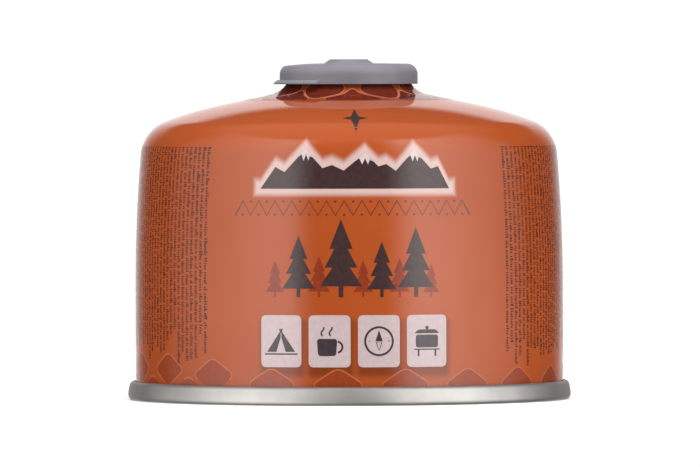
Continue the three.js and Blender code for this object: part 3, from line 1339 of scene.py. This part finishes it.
@dataclass
class Films:
    """Lays printed shapes on the can as thin closed films."""

    surface: CanSurface
    top: float = 0.02
    bottom: float = -0.03
    cell: float = 1.3
    weld: float = 1e-5

    def lay(self, name: str, shapes: Iterable[Outline], material: bpy.types.Material,
            sliced: bool = True, level: int = 0) -> None:
        """Bend flat shapes round the can and settle them as one piece.

        Args:
            name: Name of the piece.
            shapes: Outlines as distance round the wall and distance along the section.
            material: The ink.
            sliced: Whether the shapes are large enough to need cutting into cells.
            level: How many films lie under this one.
        """
        flat = self.flatten(shapes, sliced)
        mesh = bmesh.new()
        normals: list[Vector] = []
        upper = self.layer(flat, mesh, normals, self.top * (1 + level))
        lower = self.layer(flat, mesh, normals, self.bottom)
        for face in flat.faces:
            mesh.faces.new([upper[v] for v in face.verts]).smooth = True
            mesh.faces.new([lower[v] for v in reversed(face.verts)]).smooth = True
        for edge in flat.edges:
            if len(edge.link_faces) == 1:
                start, stop = edge.link_loops[0].vert, edge.link_loops[0].link_loop_next.vert
                side = (upper[stop], upper[start], lower[start], lower[stop])
                mesh.faces.new(side).smooth = True
        flat.free()
        piece = into_object(name, mesh)
        piece.data.normals_split_custom_set_from_vertices(normals)
        settle(piece, Body.CAN, Slot.LACQUER, material)

    def flatten(self, shapes: Iterable[Outline], sliced: bool) -> bmesh.types.BMesh:
        """Fill outlines with faces that all look up.

        Args:
            shapes: The outlines.
            sliced: Whether they are cut into cells.

        Returns:
            The flat mesh.
        """
        flat = bmesh.new()
        for outline in shapes:
            flat.faces.new([flat.verts.new((u, along, 0)) for u, along in outline])
        bmesh.ops.remove_doubles(flat, verts=flat.verts, dist=self.weld)
        # Triangulating an outline with hollows needs the faces' normals
        flat.normal_update()
        bmesh.ops.triangulate(flat, faces=flat.faces)
        if sliced:
            self.slice(flat)
        flat.normal_update()
        for face in flat.faces:
            if face.normal.z < 0:
                face.normal_flip()
        return flat

    def layer(self, flat: bmesh.types.BMesh, mesh: bmesh.types.BMesh, normals: list[Vector],
              lift: float) -> dict[bmesh.types.BMVert, bmesh.types.BMVert]:
        """Bend every point of a flat mesh round the can at one lift.

        Args:
            flat: The flat shapes.
            mesh: The mesh that the points go into.
            normals: The surface's normal at each point is added here.
            lift: Height above the can.

        Returns:
            The new point for each flat one.
        """
        bent = {}
        for vertex in flat.verts:
            at, normal = self.surface.place(vertex.co.x, vertex.co.y, lift)
            bent[vertex] = mesh.verts.new(at)
            normals.append(normal)
        return bent

    def slice(self, mesh: bmesh.types.BMesh) -> None:
        """Cut flat shapes into cells that are small enough to bend.

        Args:
            mesh: The flat mesh, which is changed.
        """
        for axis, normal in enumerate(((1, 0, 0), (0, 1, 0))):
            spans = [v.co[axis] for v in mesh.verts]
            first, last = math.ceil(min(spans) / self.cell), math.floor(max(spans) / self.cell)
            for k in range(first, last + 1):
                at = [0.0, 0.0, 0.0]
                at[axis] = k * self.cell
                everything = mesh.verts[:] + mesh.edges[:] + mesh.faces[:]
                bmesh.ops.bisect_plane(
                    mesh, geom=everything, dist=self.weld, plane_co=at, plane_no=normal
                )


@dataclass
class Tiles:
    """The row of pale tiles with small dark pictures on them."""

    surface: CanSurface
    count: int = 4
    pitch: float = 12.1
    middle: float = 1.2
    width: float = 10.3
    height: float = 12.7
    low: float = 9.4
    corner: float = 1.3
    shade_shift: Point = (0.3, -1.6)
    shade_inset: Point = (0.7, 0.5)
    shade_blur: float = 2.4
    shade_depth: float = 0.55

    def middles(self) -> list[float]:
        """Give each tile's middle, as a distance round the wall."""
        return [self.middle + (i - (self.count - 1) / 2) * self.pitch for i in range(self.count)]

    def shade_middles(self) -> list[Point]:
        """Give the middles of the soft shades, a little below the tiles."""
        right, up = self.shade_shift
        return [(u + right, self.low + self.height / 2 + up) for u in self.middles()]

    def shade_half(self) -> Point:
        """Give half the width and height of a shade's solid part."""
        return self.width / 2 - self.shade_inset[0], self.height / 2 - self.shade_inset[1]

    def build(self, films: Films) -> None:
        """Lay the tiles and their pictures.

        Args:
            films: Lays shapes on the can.
        """
        base = self.surface.along_at_height(self.low)
        half = self.width / 2
        tiles = []
        pictures = []
        for u, drawing in zip(self.middles(), (self.tent, self.mug, self.compass, self.pot)):
            tiles.append(rounded(box(u - half, base, u + half, base + self.height), self.corner))
            middle = base + self.height / 2
            pictures += [[(u + x, middle + y) for x, y in shape] for shape in drawing()]
        pale = Lacquer().ink("tile_ink", linear(171, 153, 154), linear(175, 158, 158))
        dark = Lacquer().ink("picture_ink", linear(54, 45, 50), linear(60, 51, 55))
        films.lay("print_tiles", tiles, pale)
        films.lay("print_pictures", pictures, dark, level=1)

    @staticmethod
    def tent() -> list[Outline]:
        """Draw a ridge tent with an open door.

        Returns:
            The shapes, from the tile's middle.
        """
        return [
            [(-3.6, -2.6), (-1.2, -2.6), (-0.1, 0.9), (-0.1, 2.6)],
            [(1.2, -2.6), (3.6, -2.6), (0.1, 2.6), (0.1, 0.9)],
            [(-0.5, 2.9), (-0.25, 3.2), (0.25, 2.3), (0.0, 2.0)],
            [(0.5, 2.9), (0.0, 2.0), (-0.25, 2.3), (0.25, 3.2)],
            box(-4.2, -3.3, 4.2, -2.95),
        ]

    @staticmethod
    def mug() -> list[Outline]:
        """Draw a mug with two curls of steam.

        Returns:
            The shapes, from the tile's middle.
        """
        cup = rounded([(-2.8, -3.6), (1.6, -3.6), (1.9, 0.6), (-3.1, 0.6)], 0.8)
        handle = stroke(arc((1.8, -1.4), 1.35, -80, 80, 14), 0.5, closed=False)
        steam_low, steam_step, steam_points = 1.3, 0.2, 12
        heights = [steam_low + steam_step * i for i in range(steam_points)]
        steam = []
        for x in (-1.7, 0.3):
            wave = [(x + 0.35 * math.sin(y * 2.4), y) for y in heights]
            steam += stroke(wave, 0.38, closed=False)
        return [cup, *handle, *steam]

    @staticmethod
    def compass() -> list[Outline]:
        """Draw a ring with a needle and two marks.

        Returns:
            The shapes, from the tile's middle.
        """
        ring = stroke(disc((0, 0), 3.4, 40), 0.5)
        north = [(-0.9, 0.0), (0.9, 0.0), (0.0, 2.7)]
        south = stroke([(-0.7, -0.25), (0.7, -0.25), (0.0, -2.3)], 0.26)
        mark = 0.14
        marks = [box(x - mark, -mark, x + mark, mark) for x in (2.4, -2.4)]
        return [*ring, north, *south, *marks]

    @staticmethod
    def pot() -> list[Outline]:
        """Draw a pot with a lid on a trivet.

        Returns:
            The shapes, from the tile's middle.
        """
        body = rounded(box(-2.9, -1.6, 2.9, 1.5), 0.7)
        lid = rounded([(-3.3, 1.85), (3.3, 1.85), (2.2, 2.8), (-2.2, 2.8)], 0.35)
        knob = disc((0, 3.25), 0.45, 14)
        legs = [box(x - 0.25, -3.7, x + 0.25, -2.1) for x in (-2.2, 2.2)]
        return [body, lid, knob, *legs, box(-3.3, -2.2, 3.3, -1.9)]


@dataclass
class Lattice:
    """Rows of rounded diamonds round the foot and round the neck."""

    surface: CanSurface
    count: int = 20
    half: Point = (6.6, 4.3)
    corner: float = 1.9
    corner_steps: int = 5
    edge: float = 0.28
    seam_top: float = SEAM_HEIGHT
    seam_tuck: float = 0.6  # how far the print goes down behind the seam
    turn: float = -3.0
    row: float = 0.4
    rise: float = 3.3
    rise_from: Point = (-18.0, -52.0)
    rise_to: Point = (-130.0, -175.0)
    lower_drop: float = 5.6
    wall_shift: float = 6.0  # lifts the lower row's middles onto the can while they are found
    neck_pairs: int = 4
    neck_turn: float = 3.0
    neck_offset: float = 24.25
    neck_half: Point = (17.84, 8.4)
    neck_corner: float = 3.6
    neck_row: float = 77.1
    neck_lower: tuple[float, float] = (7.6, 8.3)
    neck_edge: float = 25.0
    neck_top: float = 79.6
    # width of the dark ring on the dome, which is partly a painted reflection of the cap's edge
    reflection_ring_width: float = 0.7

    def diamond(self, u: float, along: float, half: Point, corner: float) -> Outline:
        """Give one rounded diamond.

        Args:
            u: Its middle round the wall.
            along: Its middle along the section.
            half: Half its width and height.
            corner: How far each round begins from its corner.

        Returns:
            The outline.
        """
        x, y = half
        corners = [(u + x, along), (u, along + y), (u - x, along), (u, along - y)]
        return rounded(corners, corner, self.corner_steps)

    def swing(self, degrees: float) -> float:
        """Give how far the foot's band is raised.

        Args:
            degrees: Angle from the front.

        Returns:
            The height of the band's row above the seam.
        """
        up, down = (
            smooth((degrees - start) / (stop - start))
            for start, stop in (self.rise_from, self.rise_to)
        )
        return self.row + self.rise * (up - down)

    def foot(self) -> tuple[list[Outline], list[Outline]]:
        """Draw the foot's two rows.

        Returns:
            The filled diamonds, and their pale edges.
        """
        pitch = 360 / self.count
        floor = self.surface.along_at_height(self.seam_top - self.seam_tuck)
        fills, edges = [], []
        for i in range(self.count):
            for shift, drop in ((0.0, 0.0), (0.5, self.lower_drop)):
                degrees = (self.turn + pitch * (i + shift) + 180) % 360 - 180
                height = self.seam_top + self.swing(degrees) - drop + self.wall_shift
                along = self.surface.along_at_height(height) - self.wall_shift
                outline = self.diamond(self.surface.round_at(degrees), along, self.half, self.corner)
                fills.append(self.cut(outline, floor, 1))
                edges += [s for s in stroke(outline, self.edge) if min(p[1] for p in s) > floor]
        return [f for f in fills if len(f) > 2], edges

    @staticmethod
    def cut(outline: Outline, level: float, side: int) -> Outline:
        """Cut a shape off straight at a level.

        Args:
            outline: The shape.
            level: Distance along the section at which it is cut.
            side: 1 to keep what lies above the level and -1 to keep what lies below.

        Returns:
            What is kept of the shape.
        """
        kept = []
        for a, b in zip(outline, outline[1:] + outline[:1]):
            stays, next_stays = (side * (p[1] - level) >= 0 for p in (a, b))
            if stays:
                kept.append(a)
            if stays != next_stays:
                t = (level - a[1]) / (b[1] - a[1])
                kept.append((a[0] + (b[0] - a[0]) * t, level))
        return kept

    def neck(self) -> tuple[list[Outline], list[Outline]]:
        """Draw the neck's rows, in which every second gap is narrow.

        Returns:
            The filled diamonds, and their pale edges.
        """
        middle = self.surface.along_at_height(self.neck_row)
        floor = self.surface.along_at_radius(self.neck_edge)
        ceiling = self.surface.along_at_height(self.neck_top)
        fills, edges = [], []
        for i in range(self.neck_pairs):
            wide = self.neck_turn + 360 / self.neck_pairs * i
            narrow = wide + 180 / self.neck_pairs
            upper = [(wide - self.neck_offset, 0.0), (wide + self.neck_offset, 0.0)]
            for degrees, drop in [*upper, *zip((wide, narrow), self.neck_lower)]:
                u = self.surface.round_at(degrees)
                outline = self.diamond(u, middle - drop, self.neck_half, self.neck_corner)
                fills.append(self.cut(self.cut(outline, floor, 1), ceiling, -1))
                edges += [s for s in stroke(outline, self.edge)
                          if min(p[1] for p in s) > floor and max(p[1] for p in s) < ceiling]
        return [f for f in fills if len(f) > 2], edges

    def ring(self) -> Outline:
        """Give the dark line that closes the neck's pattern on the dome; it is also a painted
        reflection, standing where the edge of the cap's reflection falls on the dome.

        Returns:
            The outline, which goes all the way round.
        """
        half = math.pi * self.surface.wall_radius
        high = self.surface.along_at_radius(self.neck_edge) - self.edge
        return box(-half, high - self.reflection_ring_width, half, high)

    def build(self, films: Films) -> None:
        """Lay both bands.

        Args:
            films: Lays shapes on the can.
        """
        rust = Lacquer().ink("rust_ink", linear(128, 54, 26), linear(133, 57, 28))
        edge = Lacquer().ink("foot_edge_ink", linear(162, 88, 54), linear(168, 94, 60))
        deep = Lacquer().ink("deep_ink", linear(93, 35, 24), linear(98, 38, 26))
        pale = Lacquer().ink("neck_edge_ink", linear(190, 116, 92), linear(196, 122, 98))
        fills, edges = self.foot()
        films.lay("print_foot_diamonds", fills, rust)
        films.lay("print_foot_edges", edges, edge, level=1)
        fills, edges = self.neck()
        films.lay("print_neck_diamonds", fills, deep)
        films.lay("print_neck_edges", edges, pale, level=1)
        # The dark ring is partly the border of the neck's pattern and partly a painted reflection of
        # the cap's edge in the dome.
        films.lay("neck_reflection_ring", [self.ring()], deep)


@dataclass
class SmallPrint:
    """Fine broken lines of plain marks that run up the wall at both sides."""

    surface: CanSurface
    low: float = 12.5
    high: float = 63.0
    ragged: float = 9.0
    pitch: float = 1.62
    glyph: float = 1.05
    first_left: float = 41.5
    first_right: float = 47.0
    last: float = 132.0
    marks_in_group: tuple[int, int] = (2, 9)
    mark_heights: tuple[float, ...] = (0.62, 0.62, 0.7, 1.0)
    mark_widths: tuple[float, ...] = (1.0, 1.0, 1.4)
    mark_step: float = 0.46
    group_gap: float = 0.42
    ink_width: float = 0.23
    bold: float = 1.35
    bold_lines: int = 2
    bar_chance: float = 0.55
    bar_length: float = 0.14
    bar_width: float = 0.8
    bar_middle: float = 0.45
    seed: int = 11

    def block(self, side: int, chance: random.Random) -> list[Outline]:
        """Give one side's lines of marks.

        Args:
            side: 1 for the right of the can and -1 for the left.
            chance: Source of random lengths.

        Returns:
            The marks, each a thin four-sided shape.
        """
        start = self.surface.round_at(self.first_left if side < 0 else self.first_right)
        stop = self.surface.round_at(self.last)
        low = self.surface.along_at_height(self.low)
        high = self.surface.along_at_height(self.high)
        marks = []
        for i in range(int((stop - start) / self.pitch)):
            u = side * (start + i * self.pitch)
            end = low + chance.uniform(0.0, self.ragged) * chance.random()
            bold = self.bold if i < self.bold_lines else 1.0
            at = high
            while at > end:
                for _ in range(chance.randint(*self.marks_in_group)):
                    tall = self.glyph * chance.choice(self.mark_heights)
                    wide = self.ink_width * bold * chance.choice(self.mark_widths)
                    marks.append(self.mark(u, at, tall, wide))
                    if chance.random() < self.bar_chance:
                        marks.append(self.bar(u, at - wide, tall, wide * self.bar_width, chance))
                    at -= self.mark_step * bold
                at -= self.group_gap
        return marks

    def mark(self, u: float, along: float, tall: float, wide: float) -> Outline:
        """Give one upright stroke of a line that reads down the wall."""
        foot = u - self.glyph / 2
        return box(foot, along - wide, foot + tall, along)

    def bar(self, u: float, along: float, tall: float, wide: float, chance: random.Random) -> Outline:
        """Give a short cross stroke that joins two uprights."""
        foot = u - self.glyph / 2 + chance.choice((0.0, tall * self.bar_middle, tall - wide))
        return box(foot, along - self.bar_length, foot + wide, along)

    def build(self, films: Films) -> None:
        """Lay both blocks.

        Args:
            films: Lays shapes on the can.
        """
        chance = random.Random(self.seed)
        ink = Lacquer().ink("type_ink", linear(62, 32, 26), linear(70, 36, 28))
        for side, name in ((-1, "print_lines_left"), (1, "print_lines_right")):
            films.lay(name, self.block(side, chance), ink, sliced=False)


@dataclass
class FrontPrint:
    """The front's own picture: a dark ridge on the glow, a zigzag rule and a row of pines.

    The peaks are shares of the ridge's width and height, a pine is its place round the wall
    and its height, and a tier of a pine is its low and high end and its reach, as shares.
    """

    surface: CanSurface
    ridge_low: float = 52.9
    ridge_high: float = 62.6
    ridge_left: float = -22.6
    ridge_right: float = 25.8
    peaks: tuple[Point, ...] = (
        (0.08, 0.55), (0.13, 0.42), (0.24, 1.0), (0.33, 0.52), (0.38, 0.6), (0.44, 0.46), (0.55, 0.9),
        (0.62, 0.56), (0.66, 0.62), (0.71, 0.45), (0.81, 0.97), (0.9, 0.5), (0.94, 0.56),
    )
    snow_from: float = 0.8
    snow_depth: float = 0.22
    snow_teeth: tuple[float, ...] = (0.25, 0.4, 0.55, 0.7, 0.82)
    tooth_up: float = 0.09
    tooth_down: float = -0.07
    rule_low: float = 46.4
    rule_high: float = 50.0
    rule_middle: float = 1.0
    rule_half: float = 30.5
    rule_steps: int = 28
    rule_width: float = 0.42
    dot_inset: float = 0.2
    dot_radius: float = 0.3
    pine_low: float = 26.5
    pine_tiers: tuple[tuple[float, float, float], ...] = (
        (0.14, 0.55, 0.27), (0.38, 0.78, 0.21), (0.62, 1.0, 0.15),
    )
    trunk_half: float = 0.03
    near_pines: tuple[Point, ...] = ((-12.5, 15.0), (-2.0, 19.0), (8.0, 13.5), (16.6, 17.0))
    far_pines: tuple[Point, ...] = ((-18.5, 9.0), (-7.4, 10.0), (3.4, 9.0), (12.4, 9.5), (20.5, 8.0))
    star_low: float = 66.3
    star_middle: float = 1.9
    star_tall: float = 7.8
    star_wide: float = 3.9
    star_waist: float = 1.7

    def on_ridge(self, shares: Iterable[Point]) -> Outline:
        """Put points that are shares of the ridge onto the wall.

        Args:
            shares: Points as shares of the ridge's width and height.

        Returns:
            The points on the wall.
        """
        low = self.surface.along_at_height(self.ridge_low)
        tall = self.ridge_high - self.ridge_low
        wide = self.ridge_right - self.ridge_left
        return [(self.ridge_left + wide * x, low + tall * y) for x, y in shares]

    def ridge(self) -> Outline:
        """Give a jagged mountain ridge on a straight foot."""
        return self.on_ridge([(0.0, 0.0), (1.0, 0.0), *reversed(self.peaks)])

    def snow(self) -> list[Outline]:
        """Give a toothed snow cap for each high peak.

        Returns:
            The outlines.
        """
        caps = []
        for before, peak, after in zip(self.peaks, self.peaks[1:], self.peaks[2:]):
            if peak[1] < self.snow_from:
                continue
            foot = peak[1] - self.snow_depth
            left, right = (
                peak[0] + (side[0] - peak[0]) * (self.snow_depth / (peak[1] - side[1]))
                for side in (before, after)
            )
            teeth = [
                (left + (right - left) * t, foot + (self.tooth_down if i % 2 else self.tooth_up))
                for i, t in enumerate(self.snow_teeth)
            ]
            caps.append(self.on_ridge([(left, foot), *teeth, (right, foot), peak]))
        return caps

    def rule(self) -> list[Outline]:
        """Give a thin zigzag with a dot in each hollow.

        Returns:
            The outlines.
        """
        low, high = (self.surface.along_at_height(z) for z in (self.rule_low, self.rule_high))
        span = 2 * self.rule_half / self.rule_steps
        left = self.rule_middle - self.rule_half
        zigzag = [(left + i * span, high if i % 2 else low) for i in range(self.rule_steps + 1)]
        dots = [
            (left + i * span, low + self.dot_inset if i % 2 else high - self.dot_inset)
            for i in range(1, self.rule_steps)
        ]
        line_shapes = stroke(zigzag, self.rule_width, closed=False)
        return [*line_shapes, *[disc(dot, self.dot_radius, 10) for dot in dots]]

    def pine(self, u: float, base: float, tall: float) -> Outline:
        """Give a pine of three tiers on a short trunk.

        Args:
            u: Middle of the trunk.
            base: Foot of the trunk.
            tall: Height of the pine.

        Returns:
            The outline.
        """
        tiers = self.pine_tiers
        right = [(self.trunk_half, 0.0), (self.trunk_half, tiers[0][0])]
        for (low, high, reach), above in zip(tiers, tiers[1:] + (None,)):
            right.append((reach, low))
            if above:
                right.append((reach * (high - above[0]) / (high - low), above[0]))
        shares = [*right, (0.0, 1.0), *[(-x, y) for x, y in reversed(right)]]
        return [(u + tall * x, base + tall * y) for x, y in shares]

    def star(self) -> Outline:
        """Give a slim four-pointed star on the shoulder.

        Returns:
            The outline.
        """
        low = self.surface.along_at_height(self.star_low)
        reaches = (self.star_wide, self.star_waist, self.star_tall, self.star_waist) * 2
        points = []
        for k, reach in enumerate(reaches):
            angle = math.pi * k / 4
            up = low + self.star_tall + reach * math.sin(angle)
            points.append((self.star_middle + reach * math.cos(angle), up))
        return points

    def build(self, films: Films) -> None:
        """Lay the front's print.

        Args:
            films: Lays shapes on the can.
        """
        dark = Lacquer().ink("dark_ink", linear(54, 38, 38), linear(60, 42, 42))
        pale = Lacquer().ink("snow_ink", linear(184, 168, 168), linear(190, 174, 174))
        brown = Lacquer().ink("brown_ink", linear(84, 48, 38), linear(90, 52, 42))
        rust = Lacquer().ink("tree_rust_ink", linear(118, 46, 26), linear(124, 50, 28))
        films.lay("print_ridge", [self.ridge()], dark)
        films.lay("print_snow", self.snow(), pale, level=1)
        films.lay("print_rule", self.rule(), brown)
        base = self.surface.along_at_height(self.pine_low)
        far = [self.pine(u, base, tall) for u, tall in self.far_pines]
        near = [self.pine(u, base, tall) for u, tall in self.near_pines]
        films.lay("print_pines_far", far, rust)
        films.lay("print_pines_near", near, dark, level=1)
        films.lay("print_star", [self.star()], dark)


@dataclass(frozen=True)
class Panel:
    """A tall light panel, in degrees from the front and above the horizon.

    The light rises over the inner stretch and falls over the outer one, and fades at the
    bottom and at the top.
    """

    inner: Point
    outer: Point
    bottom: Point
    top: Point
    strength: float


@dataclass
class Studio:
    """Floor, lights and the camera at the photograph's angle."""

    image_width: int = 700
    image_height: int = 467
    pixels_per_mm: float = 4.0236
    distance: float = 2600.0
    eye_height: float = 87.0
    foot_pixel: Point = (349.1, 398.7)
    roll: float = -0.15
    sensor: float = 36.0
    clip: Point = (0.1, 50.0)
    floor_radius: float = 0.42
    floor_facets: int = 96
    paper: tuple[Colour, Colour] = ((0.86, 0.86, 0.86, 1), (0.88, 0.88, 0.88, 1))
    paper_scale: float = 40.0
    paper_edge: Point = (0.3, 0.7)
    paper_roughness: float = 0.9
    right_box: Panel = Panel((17.0, 40.0), (46.0, 114.0), (-80.0, -5.0), (50.0, 60.0), 3.05)
    left_box: Panel = Panel((17.0, 36.0), (44.0, 118.0), (-90.0, -30.0), (50.0, 60.0), 2.5)
    backdrop: Panel = Panel((138.0, 176.0), (270.0, 271.0), (-90.0, -60.0), (20.0, 27.0), 1.0)
    overhead: float = 0.42
    overhead_edge: Point = (38.0, 60.0)
    room: float = 0.06
    seen_white: float = 1.05
    lamp_power: float = 38.0
    lamp_size: float = 1.6
    lamp_at: tuple[float, float, float] = (0, -0.3, 1.6)

    def camera(self) -> None:
        """Aim a long lens so that the can's foot falls on its pixel."""
        focal = self.pixels_per_mm * self.distance
        data = bpy.data.cameras.new("camera")
        data.sensor_width = self.sensor
        data.lens = self.sensor * focal / self.image_width
        data.clip_start, data.clip_end = self.clip
        right = self.foot_pixel[0] - self.image_width / 2
        down = self.foot_pixel[1] - self.image_height / 2
        pitch = math.atan2(self.eye_height, self.distance) - math.atan2(down, focal)
        yaw = math.atan2(right, focal)
        eye = bpy.data.objects.new("camera", data)
        turn = Matrix.Rotation(yaw, 4, "Z") @ Matrix.Rotation(math.pi / 2 - pitch, 4, "X")
        turn = turn @ Matrix.Rotation(math.radians(self.roll), 4, "Z")
        eye.matrix_world = Matrix.Translation(Vector((0, -self.distance, self.eye_height)) * MM) @ turn
        bpy.context.scene.collection.objects.link(eye)
        bpy.context.scene.camera = eye

    def floor(self) -> None:
        """Lay a pale round floor that doesn't show in the gloss."""
        mesh = bmesh.new()
        reach = self.floor_radius
        rim = disc((0, 0), 1.0, self.floor_facets)
        mesh.faces.new([mesh.verts.new((x * reach, y * reach, 0)) for x, y in rim])
        piece = into_object("floor", mesh)
        material, graph, sockets = shader("floor_paper")
        mottle = graph.fade(graph.noise(self.paper_scale), *self.paper_edge)
        graph.feed(sockets["Base Color"], graph.mix(mottle, *self.paper))
        sockets["Roughness"].default_value = self.paper_roughness
        piece.data.materials.append(material)
        piece.visible_glossy = False

    def world(self) -> None:
        """Light the scene with white surroundings, two tall soft boxes and a darker front."""
        world = bpy.data.worlds.new("studio")
        world.use_nodes = True
        bpy.context.scene.world = world
        graph = Graph(world.node_tree)
        background = world.node_tree.nodes["Background"]
        background.inputs["Color"].default_value = (1, 1, 1, 1)
        x, y, z = graph.axes("Generated")
        azimuth = graph.math("ARCTAN2", x, graph.math("MULTIPLY", y, -1.0))
        rise = graph.math("ARCSINE", z)
        right = self.panel(graph, azimuth, rise, self.right_box)
        left = self.panel(graph, graph.math("MULTIPLY", azimuth, -1.0), rise, self.left_box)
        back = self.panel(graph, graph.math("ABSOLUTE", azimuth), rise, self.backdrop)
        high = graph.fade(rise, *(math.radians(a) for a in self.overhead_edge))
        light = graph.math("MULTIPLY_ADD", high, self.overhead, self.room)
        for part in (right, left, back):
            light = graph.math("ADD", light, part)
        seen = graph.node("ShaderNodeLightPath").outputs["Is Camera Ray"]
        white = graph.math("MULTIPLY", seen, self.seen_white)
        graph.feed(background.inputs["Strength"], graph.math("MAXIMUM", light, white))

    @staticmethod
    def panel(graph: Graph, azimuth: object, rise: object, light: Panel) -> bpy.types.NodeSocket:
        """Give the light of one panel.

        Args:
            graph: Graph to write to.
            azimuth: Direction round the can from the front, in radians.
            rise: Direction above the horizon, in radians.
            light: The panel.

        Returns:
            The light in each direction.
        """
        inner, outer, bottom, top = (
            [math.radians(a) for a in pair]
            for pair in (light.inner, light.outer, light.bottom, light.top)
        )
        fall = graph.node("ShaderNodeMapRange")
        settings = {
            "Value": azimuth, "From Min": outer[0], "From Max": outer[1], "To Min": 1.0, "To Max": 0.0,
        }
        for key, value in settings.items():
            graph.feed(fall.inputs[key], value)
        total = graph.math("MULTIPLY", graph.fade(azimuth, *inner), fall.outputs[0])
        total = graph.math("MULTIPLY", total, graph.fade(rise, *bottom))
        total = graph.math("MULTIPLY", total, graph.inverse(graph.fade(rise, *top)))
        return graph.math("MULTIPLY", total, light.strength)

    def lamp(self) -> None:
        """Hang a large soft lamp overhead that lights the floor and doesn't show in the gloss."""
        data = bpy.data.lights.new("overhead", "AREA")
        data.shape, data.size, data.size_y = "RECTANGLE", self.lamp_size, self.lamp_size
        data.energy = self.lamp_power
        lamp = bpy.data.objects.new("overhead", data)
        lamp.location = self.lamp_at
        lamp.visible_glossy = False
        bpy.context.scene.collection.objects.link(lamp)

    def build(self) -> None:
        """Set up camera, floor and lights."""
        self.camera()
        self.floor()
        self.world()
        self.lamp()
        bpy.context.scene.view_settings.view_transform = "Standard"


def main() -> None:
    """Build the canister, its print and the studio."""
    logging.basicConfig(level=logging.INFO, format="%(name)s %(message)s")
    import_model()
    Studio().build()
    surface = CanSurface()
    end = BottomEnd()
    cup = ValveCup(surface)
    core = Valve(cup)
    tiles = Tiles(surface)
    front = FrontPrint(surface)
    Can(surface).build(cup, core, end, tiles, front)
    end.build()
    cup.build()
    core.build()
    Cap(cup).build()
    films = Films(surface)
    Lattice(surface).build(films)
    SmallPrint(surface).build(films)
    front.build(films)
    tiles.build(films)


if __name__ == "__main__":
    main()
